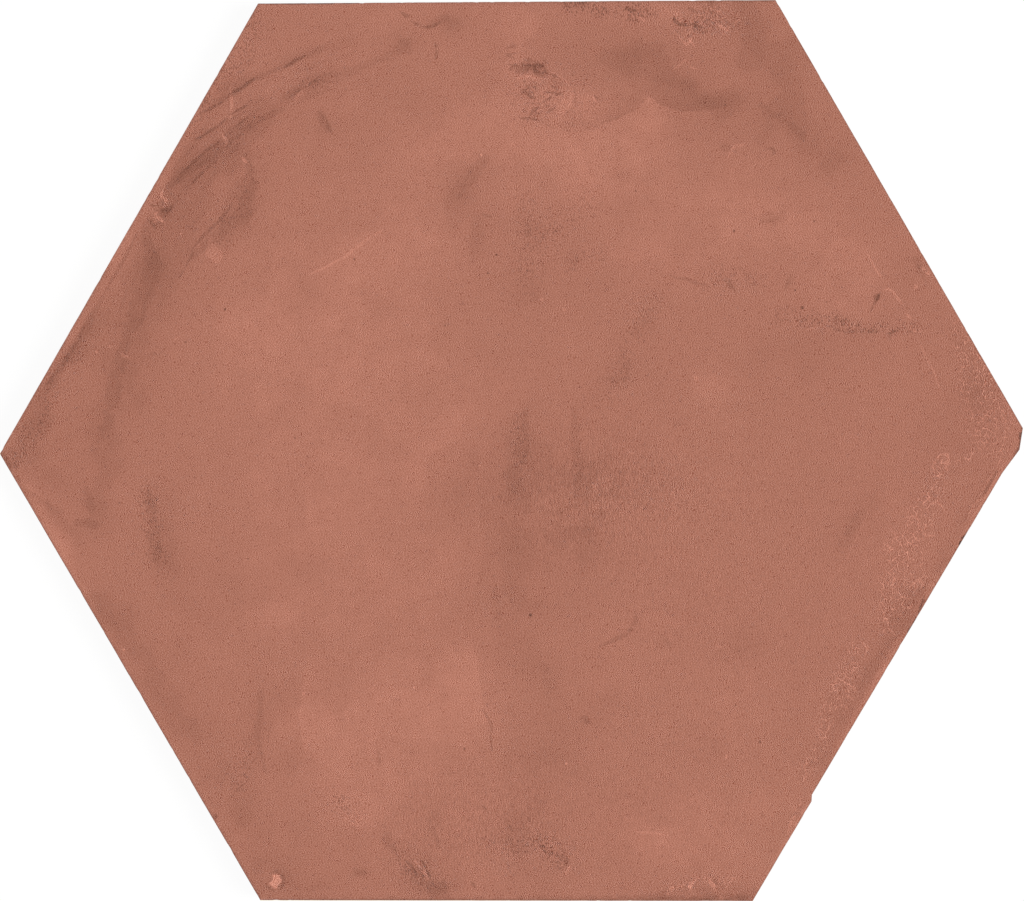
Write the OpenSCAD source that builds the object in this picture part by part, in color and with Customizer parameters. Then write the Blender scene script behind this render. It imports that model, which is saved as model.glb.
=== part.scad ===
// Hexagonal floor tile, pressed and fired in one piece, lying on its back.
// Z is up and the wearing face is on top. The origin is the middle of the tile's bounding box,
// on the plane that the back rests on. Two corners point along X.
// The outline is a nominal hexagon whose six sides each lie a little inside it, each turned a
// little, as a hand-trimmed tile's are. One corner is knocked off, and a stretch of one side is
// dressed back. Angles are in degrees, anticlockwise seen from above, and lengths are in mm.

/* [Tile] */
// Distance between opposite sides of the nominal hexagon
across_flats = 216; // [150:1:300]
// Height from the back to the wearing face
thickness = 9; // [6:0.5:20]
// Radius of the rounded arris round the wearing face
arris_r = 0.8; // [0.3:0.1:1.5]
// Size of the chamfer round the back
back_chamfer = 0.6; // [0.2:0.1:1.2]

/* [Side insets] */
// How far the top side lies inside the nominal hexagon
top_inset = 0; // [0:0.05:6]
// How far the upper right side lies inside it
upper_right_inset = 0.15; // [0:0.05:6]
// How far the lower right side lies inside it, before its stretch is dressed back
lower_right_inset = 4.45; // [0:0.05:6]
// How far the bottom side lies inside it
bottom_inset = 0; // [0:0.05:6]
// How far the lower left side lies inside it
lower_left_inset = 0.15; // [0:0.05:6]
// How far the upper left side lies inside it
upper_left_inset = 0.3; // [0:0.05:6]

/* [Side turns] */
// How far the top side is turned
top_turn = 0.4; // [-1:0.05:1]
// How far the upper right side is turned
upper_right_turn = 0; // [-1:0.05:1]
// How far the lower right side is turned
lower_right_turn = -0.6; // [-1:0.05:1]
// How far the bottom side is turned
bottom_turn = -0.1; // [-1:0.05:1]
// How far the lower left side is turned
lower_left_turn = 0.25; // [-1:0.05:1]
// How far the upper left side is turned
upper_left_turn = 0.15; // [-1:0.05:1]

/* [Knocked corner] */
// Length lost from the upper right side at the right-hand corner
knock_above = 2.2; // [1:0.1:6]
// Length lost from the lower right side at the same corner
knock_below = 3.8; // [1:0.1:6]

/* [Dressed stretch] */
// How deep the lower right side is dressed back
dressed_depth = 0.7; // [0.1:0.05:1.5]
// Length of the slow run in, next to the knocked corner
run_in = 6.9; // [4:0.1:15]
// Length of the quick run out at the far end
run_out = 1.4; // [1:0.1:5]
// Length of side that stays proud between the run out and the bottom right corner
proud_end = 27.85; // [5:0.05:40]

/* [Keyed back] */
// Distance between the middles of neighbouring key pockets
key_pitch = 20; // [12:0.5:30]
// Width of the rib between two pockets
key_rib = 2.4; // [1:0.1:5]
// Depth of the pockets
key_depth = 0.6; // [0.3:0.1:1.5]
// Least width of the plain land between the pockets and the trimmed sides
key_land = 5; // [2:0.5:15]

/* [Hidden] */
fired_clay = [0.69, 0.46, 0.39];
// Number of flats that the rounded arris is made of
arris_flats = 5;
// How far a pocket's cutting shape starts below the back
past = 1;

// The sides run clockwise from the top one: top, upper right, lower right, bottom, lower left, upper left
TOP = 0;
UPPER_RIGHT = 1;
LOWER_RIGHT = 2;
BOTTOM = 3;
LOWER_LEFT = 4;
UPPER_LEFT = 5;
insets = [top_inset, upper_right_inset, lower_right_inset, bottom_inset, lower_left_inset, upper_left_inset];
turns = [top_turn, upper_right_turn, lower_right_turn, bottom_turn, lower_left_turn, upper_left_turn];

// A straight run of the outline is [outward normal, distance from the mould's middle]
function side(i) =
    let (facing = 90 - 60 * i + turns[i])
    [[cos(facing), sin(facing)], across_flats / 2 - insets[i]];

// Way along a run, going clockwise
function along(run) = [run[0].y, -run[0].x];

// The run that passes clockwise from p to q
function through(p, q) =
    let (way = (q - p) / norm(q - p), outward = [-way.y, way.x])
    [outward, outward * p];

// The point where one run meets another
function meet(a, b) =
    let (n = a[0], m = b[0], det = n.x * m.y - n.y * m.x)
    [a[1] * m.y - b[1] * n.y, b[1] * n.x - a[1] * m.x] / det;

// The right-hand corner: where it would be sharp, and where the knocked-off flat starts and ends
sharp_corner = meet(side(UPPER_RIGHT), side(LOWER_RIGHT));
knock_start = sharp_corner - knock_above * along(side(UPPER_RIGHT));
knock_end = sharp_corner + knock_below * along(side(LOWER_RIGHT));

// The dressed stretch, by how far along the lower right side and how deep behind it a point lies
function behind(distance, depth) =
    sharp_corner + distance * along(side(LOWER_RIGHT)) - depth * side(LOWER_RIGHT)[0];
lower_right_length = norm(meet(side(LOWER_RIGHT), side(BOTTOM)) - sharp_corner);
dressed_from = knock_below + run_in;
dressed_to = lower_right_length - proud_end - run_out;
dressed_start = behind(dressed_from, dressed_depth);
dressed_end = behind(dressed_to, dressed_depth);
proud_start = behind(dressed_to + run_out, 0);

// Every straight run of the outline, clockwise from the top
runs = [
    side(TOP),
    side(UPPER_RIGHT),
    through(knock_start, knock_end),
    through(knock_end, dressed_start),
    through(dressed_start, dressed_end),
    through(dressed_end, proud_start),
    side(LOWER_RIGHT),
    side(BOTTOM),
    side(LOWER_LEFT),
    side(UPPER_LEFT),
];
corners = len(runs);

// The outline's corners with every run moved inwards by inset, from the mould's middle
function moved_in(run, inset) = [run[0], run[1] - inset];
function outline(inset) = [
    for (i = [0 : corners - 1])
        meet(moved_in(runs[(i + corners - 1) % corners], inset), moved_in(runs[i], inset))
];

// Middle of the outline's bounding box, which becomes the origin
xs = [for (p = outline(0)) p.x];
ys = [for (p = outline(0)) p.y];
middle = [(min(xs) + max(xs)) / 2, (min(ys) + max(ys)) / 2];

// The tile's edge in section, from the back up: [how far in from the outline, height]
edge_section = concat(
    [[back_chamfer, 0], [0, back_chamfer]],
    [
        for (i = [0 : arris_flats])
            let (turn = 90 * i / arris_flats)
            [arris_r * (1 - cos(turn)), thickness - arris_r * (1 - sin(turn))]
    ]
);
rings = len(edge_section);

// Honeycomb of key pockets: as many rings of them as stay inside the deepest trimmed side
pocket_r = (key_pitch - key_rib) / 2 / cos(30);
row_pitch = key_pitch * cos(30);
key_reach = across_flats / 2 - max(insets) - dressed_depth - key_land - pocket_r;
key_rings = floor(key_reach / row_pitch);

// The pressed body: the edge section carried round the outline, closed by the two faces
module body() {
    points = [
        for (s = edge_section)
            for (p = outline(s[0]))
                [p.x - middle.x, p.y - middle.y, s[1]]
    ];
    back = [for (i = [0 : corners - 1]) corners - 1 - i];
    wearing_face = [for (i = [0 : corners - 1]) (rings - 1) * corners + i];
    edge = [
        for (ring = [0 : rings - 2])
            for (i = [0 : corners - 1])
                let (low = ring * corners, high = low + corners, next = (i + 1) % corners)
                [high + i, low + i, low + next, high + next]
    ];
    polyhedron(points, concat([back, wearing_face], edge), convexity = 4);
}

// One key pocket in the back
module key_pocket() {
    translate([0, 0, -past])
        rotate([0, 0, 30])
            cylinder(h = key_depth + past, r = pocket_r, $fn = 6);
}

// All the key pockets, in rings round the mould's middle
module key_pockets() {
    for (row = [-key_rings : key_rings])
        for (column = [max(-key_rings, -key_rings - row) : min(key_rings, key_rings - row)])
            translate([(column + row / 2) * key_pitch - middle.x, row * row_pitch - middle.y, 0])
                key_pocket();
}

// The tile itself
module hexagon_tile() {
    color(fired_clay)
        difference() {
            body();
            key_pockets();
        }
}

hexagon_tile();
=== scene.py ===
"""Looks of a hexagon floor tile of fired clay: its wearing face with its marks of use and painted light and
shade at its rim, its edge and its keyed back.

Lengths are in millimetres up to the moment a mesh is made, and tones are in grey levels out of 255.
"""

import logging
import math
from abc import ABC, abstractmethod
from collections.abc import Callable
from dataclasses import dataclass
from enum import Enum
from typing import Any

import bpy
import numpy as np
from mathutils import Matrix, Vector
from mathutils.geometry import delaunay_2d_cdt


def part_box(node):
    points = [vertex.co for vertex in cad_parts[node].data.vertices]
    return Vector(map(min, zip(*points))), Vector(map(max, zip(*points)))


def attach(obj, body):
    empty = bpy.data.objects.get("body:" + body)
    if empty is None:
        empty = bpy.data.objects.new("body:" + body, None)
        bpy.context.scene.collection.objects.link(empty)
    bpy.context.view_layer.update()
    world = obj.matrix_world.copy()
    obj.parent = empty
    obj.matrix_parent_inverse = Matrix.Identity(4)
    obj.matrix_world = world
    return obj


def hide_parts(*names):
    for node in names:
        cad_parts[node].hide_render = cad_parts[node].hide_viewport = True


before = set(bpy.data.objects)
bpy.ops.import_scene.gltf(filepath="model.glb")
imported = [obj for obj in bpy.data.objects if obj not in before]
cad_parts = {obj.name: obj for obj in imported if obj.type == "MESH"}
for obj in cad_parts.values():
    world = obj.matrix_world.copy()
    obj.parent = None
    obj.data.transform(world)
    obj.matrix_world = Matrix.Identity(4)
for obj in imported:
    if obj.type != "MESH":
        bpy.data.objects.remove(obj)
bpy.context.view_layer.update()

logging.basicConfig(level=logging.INFO, format="%(message)s")
report = logging.getLogger("hexagon_tile")

Array = np.ndarray
Point = tuple[float, ...]
Pair = tuple[float, float]
Triple = tuple[float, float, float]
MM = 0.001
GREY_LEVELS = 255.0
TILE_NODE = "hexagon_tile"
TILE_PIECE = "hexagon_tile_fired"
COLOURS = ("Red", "Green", "Blue")
SHOWN_OFFSET = 0.055
SHOWN_POWER = 2.4


# ---------- noise and lines over the plan


def ease(low: float, high: float, value: Array) -> Array:
    """Smooth step: 0 below `low`, 1 above `high`, and 3t^2 - 2t^3 between."""
    t = np.clip((value - low) / (high - low), 0, 1)
    return t * t * (3 - 2 * t)


@dataclass(frozen=True)
class Noise:
    """Seeded gradient noise over the plan, in layers, each half as wide as the one before.

    `size` is the cell width of the widest layer, `gain` the strength of a layer as a share of the
    one before, and `strength` that of the widest layer, which runs from about minus it to it.
    """

    seed: int
    size: float
    layers: int
    gain: float = 0.5
    strength: float = 1.0
    table_size: int = 256
    amplitude: float = 1.6

    def layer(self, number: int, x: Array, y: Array) -> Array:
        """One layer of the noise, from about -1 to 1.

        Each lattice corner holds a random direction. Its pull is the dot product of that direction
        with the way from the corner, and the four pulls are blended by 6t^5 - 15t^4 + 10t^3.

        Args:
            number: which layer, from 0 for the widest.
            x: places along X.
            y: places along Y.

        Returns:
            One value per place.
        """
        count = self.table_size
        angles = np.random.default_rng(self.seed + number).uniform(0, 2 * np.pi, (count, count))
        size = self.size / 2 ** number
        u, v = x / size, y / size
        column, row = np.floor(u).astype(int), np.floor(v).astype(int)
        share_u, share_v = u - column, v - row
        blend_u, blend_v = (t ** 3 * (t * (6 * t - 15) + 10) for t in (share_u, share_v))

        def pull(step_u: int, step_v: int) -> Array:
            """Pull of one corner of each place's cell."""
            angle = angles[(column + step_u) % count, (row + step_v) % count]
            return np.cos(angle) * (share_u - step_u) + np.sin(angle) * (share_v - step_v)

        near = pull(0, 0) * (1 - blend_u) + pull(1, 0) * blend_u
        far = pull(0, 1) * (1 - blend_u) + pull(1, 1) * blend_u
        return self.amplitude * (near * (1 - blend_v) + far * blend_v)

    def over(self, x: Array, y: Array) -> Array:
        """Sum of the layers, times the strength.

        Args:
            x: places along X.
            y: places along Y.

        Returns:
            One value per place.
        """
        total = np.zeros_like(x)
        for number in range(self.layers):
            total += self.gain ** number * self.layer(number, x, y)
        return self.strength * total


@dataclass(frozen=True)
class Course:
    """A line through given points. After its x and y, each point holds what it carries."""

    points: tuple[Point, ...]
    corner_bias: float = 1e-6

    def nearest(self, x: Array, y: Array) -> tuple[Array, Array, Array]:
        """Nearest point of the line to each place.

        A stretch from a to b is met at t = (p - a).(b - a) / |b - a|^2, held between 0 and 1, and
        the stretch at the least distance counts. Where two are met at their common corner, the one
        whose line lies further off counts, so that the sign is right round a sharp corner.

        Args:
            x: places along X.
            y: places along Y.

        Returns:
            The distance, positive on the left of the line; the carried values; and how far the
            place lies past an end of the line.
        """
        data = np.array(self.points, float)
        best = np.full(x.shape, np.inf)
        signed = np.zeros(x.shape)
        overrun = np.zeros(x.shape)
        carried = np.zeros((data.shape[1] - 2, *x.shape))
        last = len(data) - 2
        for index, (start, end) in enumerate(zip(data[:-1], data[1:])):
            run = end[:2] - start[:2]
            length = np.hypot(*run)
            along = ((x - start[0]) * run[0] + (y - start[1]) * run[1]) / length
            t = np.clip(along / length, 0, 1)
            distance = np.hypot(x - start[0] - t * run[0], y - start[1] - t * run[1])
            to_left = (run[0] * (y - start[1]) - run[1] * (x - start[0])) / length
            rank = distance - np.abs(to_left) * self.corner_bias
            closer = rank < best
            past = np.zeros(x.shape)
            if index == 0:
                past = np.maximum(past, -along)
            if index == last:
                past = np.maximum(past, along - length)
            values = start[2:, None] + (end - start)[2:, None] * t[None, :]
            best = np.where(closer, rank, best)
            signed = np.where(closer, np.copysign(distance, to_left), signed)
            overrun = np.where(closer, past, overrun)
            carried = np.where(closer, values, carried)
        return signed, carried, overrun


# ---------- the tile's outline


@dataclass(frozen=True)
class Outline:
    """Plan of the tile: straight runs, clockwise from the top one, each a normal and a distance.

    The six sides lie a little inside a nominal hexagon and are each turned a little. The knocked
    right-hand corner and the dressed stretch of the lower right side are runs through two points.
    """

    across_flats: float = 216.0
    insets: tuple[float, ...] = (0.0, 0.15, 4.45, 0.0, 0.15, 0.3)
    turns: tuple[float, ...] = (0.4, 0.0, -0.6, -0.1, 0.25, 0.15)
    knock_above: float = 2.2
    knock_below: float = 3.8
    dressed_depth: float = 0.7
    run_in: float = 6.9
    run_out: float = 1.4
    proud_end: float = 27.85
    corner_blend: float = 2.0

    def side(self, index: int) -> Array:
        """Side of the hexagon: its normal's x and y, and its distance from the mould's middle."""
        facing = math.radians(90 - 60 * index + self.turns[index])
        return np.array([math.cos(facing), math.sin(facing), self.across_flats / 2 - self.insets[index]])

    @staticmethod
    def along(run: Array) -> Array:
        """Way along a run, clockwise."""
        return np.array([run[1], -run[0]])

    @staticmethod
    def through(start: Array, end: Array) -> Array:
        """Run that passes clockwise from one point to another."""
        outward = np.array([start[1] - end[1], end[0] - start[0]]) / np.hypot(*(end - start))
        return np.array([*outward, outward @ start])

    def meet(self, first: Array, second: Array) -> Array:
        """Point where two runs meet, by Cramer's rule on their two line equations."""
        across = first[2] * self.along(second) - second[2] * self.along(first)
        return across / (first[0] * second[1] - first[1] * second[0])

    def runs(self) -> list[Array]:
        """Works out every run of the outline.

        Returns:
            All runs, clockwise from the top side.
        """
        top, upper_right, lower_right, bottom, lower_left, upper_left = (self.side(i) for i in range(6))
        down, inward = self.along(lower_right), -lower_right[:2]
        sharp = self.meet(upper_right, lower_right)
        length = np.hypot(*(self.meet(lower_right, bottom) - sharp))
        knock_start = sharp - self.knock_above * self.along(upper_right)
        knock_end = sharp + self.knock_below * down
        dressed_from = self.knock_below + self.run_in
        dressed_to = length - self.proud_end - self.run_out
        dressed_start = sharp + dressed_from * down + self.dressed_depth * inward
        dressed_end = sharp + dressed_to * down + self.dressed_depth * inward
        proud_start = sharp + (dressed_to + self.run_out) * down
        knocked = self.through(knock_start, knock_end)
        leading_in = self.through(knock_end, dressed_start)
        dressed = self.through(dressed_start, dressed_end)
        leading_out = self.through(dressed_end, proud_start)
        return [
            top, upper_right, knocked, leading_in, dressed, leading_out, lower_right, bottom, lower_left,
            upper_left,
        ]

    def middle(self) -> Array:
        """Middle of the outline's box, which is the tile's origin."""
        plan = self.corners_from_mould(0.0)
        return (plan.min(axis=0) + plan.max(axis=0)) / 2

    def corners_from_mould(self, inset: float) -> Array:
        """Corners with every run moved in by `inset`, measured from the mould's middle."""
        moved = [run - np.array([0, 0, inset]) for run in self.runs()]
        return np.array([self.meet(moved[i - 1], moved[i]) for i in range(len(moved))])

    def corners(self, inset: float) -> Array:
        """Corners with every run moved in by `inset`, clockwise from the upper left one."""
        return self.corners_from_mould(inset) - self.middle()

    def depth(self, x: Array, y: Array) -> tuple[Array, Array, Array]:
        """How far places lie inside the outline, and which way is out.

        The depth is the least distance to any run's own stretch. The way out is the mean of the runs'
        normals, each weighed by exp(-distance / corner_blend), so that it turns smoothly at a corner.

        Args:
            x: places along X.
            y: places along Y.

        Returns:
            Depth, and the way out along X and along Y.
        """
        starts = self.corners(0.0)
        distances, normals = [], self.runs()
        for run, start, end in zip(normals, starts, np.roll(starts, -1, axis=0)):
            from_x, from_y = x - start[0], y - start[1]
            inside = -(from_x * run[0] + from_y * run[1])
            along = from_x * run[1] - from_y * run[0]
            beyond = np.maximum(np.maximum(-along, along - np.hypot(*(end - start))), 0)
            distances.append(np.where(beyond > 0, np.hypot(inside, beyond), inside))
        nearest = np.min(distances, axis=0)
        weights = [np.exp((nearest - distance) / self.corner_blend) for distance in distances]
        out_x = sum(weight * run[0] for weight, run in zip(weights, normals))
        out_y = sum(weight * run[1] for weight, run in zip(weights, normals))
        size = np.hypot(out_x, out_y)
        return nearest, out_x / size, out_y / size


# ---------- marks on the face


class Trace(Enum):
    """What each point of the tile's surface carries for its finish to read."""

    TONE = "tone"
    SMUDGE = "smudge"
    GRAIN = "grain"
    FILM_EDGE = "film_edge"
    FILM_TONE = "film_tone"
    LINE_AWAY = "line_away"
    LINE_TONE = "line_tone"
    CROSS_AWAY = "cross_away"
    CROSS_TONE = "cross_tone"
    DOT_X = "dot_x"
    DOT_Y = "dot_y"
    DOT_TONE = "dot_tone"
    SWEEP = "sweep"
    COMB = "comb"
    SCUFF = "scuff"
    CRACKLE = "crackle"
    PITTED = "pitted"
    RAW = "raw"


# traces that only the rubbed face has; the tone among them carries painted light and shade along the rim
FACE_ONLY_TRACES = (
    Trace.TONE, Trace.SMUDGE, Trace.GRAIN, Trace.FILM_TONE, Trace.LINE_TONE, Trace.CROSS_TONE,
    Trace.DOT_TONE, Trace.SWEEP, Trace.COMB, Trace.SCUFF, Trace.CRACKLE, Trace.PITTED,
)


@dataclass(frozen=True)
class Smear:
    """A rubbed band with soft edges, through points of (x, y, half width, strength)."""

    points: tuple[Point, ...]

    def over(self, x: Array, y: Array) -> Array:
        """Strength at the nearest point of the band, times exp(-(distance / half width)^2)."""
        signed, (width, strength), _ = Course(self.points).nearest(x, y)
        return strength * np.exp(-(signed / width) ** 2)


@dataclass(frozen=True)
class Cloud:
    """A soft patch: where its middle is, its half sizes, its strength and its turn in degrees."""

    x: float
    y: float
    half_length: float
    half_width: float
    strength: float
    turn: float = 0.0

    def over(self, x: Array, y: Array) -> Array:
        """Strength times a bell, exp(-r^2), where r is 1 on the turned ellipse.

        Args:
            x: places along X.
            y: places along Y.

        Returns:
            One value per place.
        """
        angle = math.radians(self.turn)
        along = (x - self.x) * math.cos(angle) + (y - self.y) * math.sin(angle)
        across = (y - self.y) * math.cos(angle) - (x - self.x) * math.sin(angle)
        return self.strength * np.exp(-(along / self.half_length) ** 2 - (across / self.half_width) ** 2)


@dataclass(frozen=True)
class Film:
    """A film on the left of a line of (x, y, tone): it ends at the line and fades away from it."""

    reach: float
    points: tuple[Point, ...]
    end_fade: float = 2.5

    def over(self, x: Array, y: Array) -> tuple[Array, Array, Array]:
        """Film near each place.

        Args:
            x: places along X.
            y: places along Y.

        Returns:
            Distance inside the line; tone, the line's own times exp(-(inside / reach)^2); and how
            near the place is, from 0 to 1. Both fade by exp(-(overrun / end_fade)^2) past the ends.
        """
        inside, (tone,), overrun = Course(self.points).nearest(x, y)
        ending = np.exp(-(overrun / self.end_fade) ** 2)
        fade = ending * np.exp(-(np.maximum(inside, 0) / self.reach) ** 2)
        return inside, tone * fade, ending * np.exp(-np.abs(inside) / self.reach)


@dataclass(frozen=True)
class Line:
    """A thin line on the face: its tone, its half width at its middle, and its points."""

    tone: float
    half_width: float
    points: tuple[Point, ...]
    end_thinning: float = 0.6
    end_fade: float = 0.4
    side_fade: Pair = (1.1, 1.6)

    def over(self, x: Array, y: Array) -> tuple[Array, Array, Array]:
        """The line near each place, thinned by |2s - 1|^3 of end_thinning at share s of its points.

        Args:
            x: places along X.
            y: places along Y.

        Returns:
            Distance from the line, positive on its left; that distance in half widths; and tone,
            which is whole near the line and fades out over side_fade and past its ends.
        """
        shares = np.linspace(0, 1, len(self.points))
        course = Course(tuple((*point, share) for point, share in zip(self.points, shares)))
        signed, (share,), overrun = course.nearest(x, y)
        half_width = self.half_width * (1 - self.end_thinning * np.abs(2 * share - 1) ** 3)
        fade = np.exp(-(overrun / self.end_fade) ** 2) * (1 - ease(*self.side_fade, np.abs(signed)))
        return signed, signed / half_width, self.tone * fade


@dataclass(frozen=True)
class Dot:
    """A pinhole or a crumb: where it is, its radius, and its tone."""

    x: float
    y: float
    radius: float
    tone: float


def marks(kind: Callable[..., Any], *rows: tuple) -> tuple:
    """Marks of one kind, each made from its own row of values."""
    return tuple(kind(*row) for row in rows)


def courses(kind: Callable[..., Any], values: int, *rows: tuple) -> tuple:
    """Marks of one kind that follow a line. A row holds so many values, and then the points."""
    return tuple(kind(*row[:values], row[values:]) for row in rows)


@dataclass(frozen=True)
class WornFaceAndEdgeShade:
    """Everything that use and firing left on the wearing face, and painted light and shade along its rim.
    Minus tones are darker.
    """

    dark_sweeps_and_edge_shade: tuple[Smear, ...] = courses(Smear, 0,
        # round the upper left, from the top side down to the left-hand corner
        ((-44, 90, 4, -3), (-58, 82, 4, -7), (-70, 73.5, 5, -10), (-78, 66.5, 5.5, -12), (-83, 55, 7, -12),
         (-85, 43, 7, -11), (-89, 32, 7, -11), (-94, 18, 7, -8), (-97, 4, 6.5, -7), (-100, -12, 5, -7)),
        ((-74, 81, 2, -4), (-66, 86.5, 1.8, -6), (-58, 91, 1.8, -5), (-50, 95, 1.8, -5),
         (-38, 100, 1.5, -3)),
        ((-62, 71, 4, -4), (-64, 57, 4.5, -7), (-70, 51, 3, -5)),
        ((-80, 65, 2, -3), (-72, 71.5, 2.4, -5), (-65, 76.5, 2, -4.5), (-57, 80.5, 1.6, -3.5)),
        # along the upper left side
        ((-96, 43, 2, -5), (-104, 26, 2, -8), (-112, 14, 2.5, -7), (-118, 0, 4, -9)),
        # down from the top side, right of the middle, and out to the upper right corner
        ((14, 97, 5, -2), (20, 96, 6, -5), (28, 94, 7, -8), (36, 91.5, 7, -9), (40, 87.5, 5, -8),
         (47, 84, 3.5, -8), (56, 83, 4, -6), (65, 80, 6, -6), (72, 76, 5, -4), (76, 69, 4, -5)),
        ((8.4, 90.8, 0.6, -6), (11, 89.2, 0.9, -6), (13.4, 87.4, 0.9, -5), (16, 85, 0.8, -2)),
        ((57, 104, 5, -9), (59, 96, 6, -8), (66, 90, 5, -6), (70, 72, 4, -2)),
        ((42, 77, 3, -3), (52, 76, 4, -4), (60, 76, 4, -4)),
        # down the middle, from above the centre to the bottom side
        ((3, 9, 4, -4), (1, -1, 6, -7), (0, -14, 6, -7), (-1, -28, 5, -6), (0, -42, 4.5, -5),
         (5, -54, 5, -5), (10, -64, 5, -4), (9, -76, 6, -3), (6, -90, 6, -4), (8, -104, 5, -3)),
        ((1, -84, 3, -3), (0, -94, 3, -5), (2, -102, 3, -2)),
        # along the lower left side
        ((-98, -38, 5, -6), (-88, -50, 6, -5), (-80, -62, 6, -5), (-71, -77, 6, -5), (-62, -92, 5, -5),
         (-58, -104, 5, -6), (-44, -105, 4, -5)),
        ((-86, -9, 4, -3), (-84, -19, 4, -4), (-82, -33, 4, -4), (-72, -42, 5, -3), (-63, -44, 4, -3)),
        # painted shade: a dark band inside the dressed stretch of the lower right side, along its cut edge
        ((109, -16, 2, -4), (98, -34, 2.6, -7), (92.6, -43, 2.6, -9), (87.4, -51, 2.6, -8),
         (79, -65, 3, -6), (71.6, -78, 2.5, -4)),
    )
    dark_clouds: tuple[Cloud, ...] = marks(Cloud,
        # top left
        (-52, 103, 8, 4, -2), (-45, 92, 10, 4, -2), (-65, 86, 5, 4, -4, 40), (-45, 79, 1.8, 3, -6, 30),
        (-49, 78, 2.5, 3, -3), (-59, 77, 5, 6, -2), (-79, 72, 3, 6, -3.5), (-67, 60, 12, 9, -4),
        (-60, 52, 5, 5, -1.5), (-50, 42, 5, 5, -1.5),
        # top middle
        (33, 103.6, 2, 1, -6), (-15, 102, 3, 3, -8), (5, 98, 4, 1.5, -3), (-26, 97, 4, 2, -8),
        (9, 94, 2, 3, -3), (30, 94, 10, 5, -4), (25, 92, 8, 4, -2), (-20, 82, 5, 4, -3),
        (-10, 82, 5, 4, -2), (-30, 72, 5, 5, -1.5), (10, 72, 5, 4, -1.5), (-11, 65, 4.5, 8, -6, -40),
        (-13, 59, 4, 3, -4), (5, 53, 5, 5, -2), (6, 53, 8, 5, -4.5, -10), (-10, 51, 2, 6, -5, -10),
        (14, 50, 3, 5, -3), (16, 45, 2, 3, -6), (7, 42, 8, 4, -4), (22, 42, 4, 4, -2),
        # top right
        (50, 102, 6, 4, -2), (72, 96, 5, 5, -3), (60, 92, 5, 4, -1.4), (49, 91, 12, 6, -2),
        (44, 87, 3, 1.5, -4), (47, 82.5, 2, 1.5, -5), (80, 72, 5, 5, -3), (66, 57.5, 2, 1.5, -5),
        (62, 55, 3, 1.5, -9, 10), (40, 52, 5, 4, -1.5), (97, 42, 4, 6, -4, -60), (66, 40.5, 1, 2, -8, -30),
        # left
        (-50, 36, 5, 9, -4), (-100, 25, 4, 5, -3), (-50, 12, 6, 5, -4), (-88, 9, 8, 6, -3),
        (-112, 6, 10, 9, -5), (-117, -5, 3, 3, -4), (-110, -7, 4, 4, -3), (-100, -18, 5, 4, -5),
        (-70, -18, 5, 4, -1.4), (-84, -28, 9, 5, -3), (-80, -28, 9, 9, -2), (-70, -28, 5, 5, -2),
        (-50, -28, 4, 4, -4), (-66, -32, 7, 6, -4), (-98, -38, 2, 4, -5, 30), (-59, -38, 4, 4, -3),
        (-50, -38, 5, 4, -1.4),
        # middle
        (3, 38, 4, 3, -3), (4, 37, 4, 3, -4), (32, 30, 3, 3, -5), (31, 21, 5, 5, -2),
        (20, 14, 4, 9, -3, -30), (-20, 13, 5, 4, -4), (-32, 2, 8, 7, -3), (10, 2, 5, 4, -1.5),
        (32, 2, 5, 6, -2), (-10, -2, 1.5, 4, -5), (-10, -8, 4, 4, -1.5), (14, -8, 11, 11, -7),
        (26, -8, 12, 9, -4), (-11, -9, 3, 5, -3), (-14, -14, 6, 8, -4), (-20, -18, 5, 4, -1.8),
        (20, -18, 5, 4, -3), (12, -24, 12, 8, -5), (20, -28, 5, 4, -1.3), (-10, -34, 4, 15, -3),
        (7, -38, 9, 4, -3), (10, -38, 5, 4, -1.5),
        # right
        (90, 32, 6, 4, -2), (80, 29, 10, 3, -2), (64, 24, 12, 6, -4, 10), (70, 22, 4, 5, -2),
        (112, 14, 9, 4, -3, -60), (40, 12, 5, 4, -1.5), (60, 12, 5, 4, -1.5), (110, 12, 6, 6, -3.5),
        (110, 2, 5, 5, -2), (104, 0, 7, 10, -2), (40, -8, 5, 4, -1.3), (70, -8, 5, 4, -2),
        (84, -14, 3, 8, -2.5, -20), (82, -17, 5, 10, -1.6, -25),
        # bottom left
        (-80, -48, 5, 4, -1.5), (-50, -57, 4, 4, -2), (-55, -59, 4, 3, -4), (-73, -63, 7, 7, -2),
        (-61, -67, 3, 9, -6, -5), (-80, -68, 5, 5, -2), (-52, -75, 4, 3, -6), (-70, -87, 4, 4, -2),
        (-70, -88, 4, 4, -1.8), (-52, -91, 5, 4, -3), (-55, -99, 7, 5, -4), (-37, -101, 1.2, 1.2, -9),
        # bottom middle
        (-10, -57, 3, 5, -3), (25, -61, 4, 3, -4), (20, -66, 5, 4, -3), (0, -68, 5, 4, -1.4),
        (-1, -73, 3, 4, -4), (15, -77, 4, 4, -3), (-19, -90, 2, 4, -4), (-29, -93, 2, 2.5, -5),
        (-21, -98, 5, 4, -5), (20, -98, 5, 4, -1.4), (-24, -101, 5, 4, -4, -40), (-20, -104, 6, 4, -4, -30),
        (-18, -105, 3.5, 3, -8), (34, -107, 4, 1.6, -8),
        # bottom right
        (37, -46, 1.5, 2, -6), (55, -47, 5, 4, -4), (55, -48, 8, 4, -1.7), (40, -58, 5, 4, -1.5),
        (48, -70, 2, 2.5, -4), (50, -107, 8, 2, -9), (57, -107, 1.5, 1.5, -14),
    )
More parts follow.
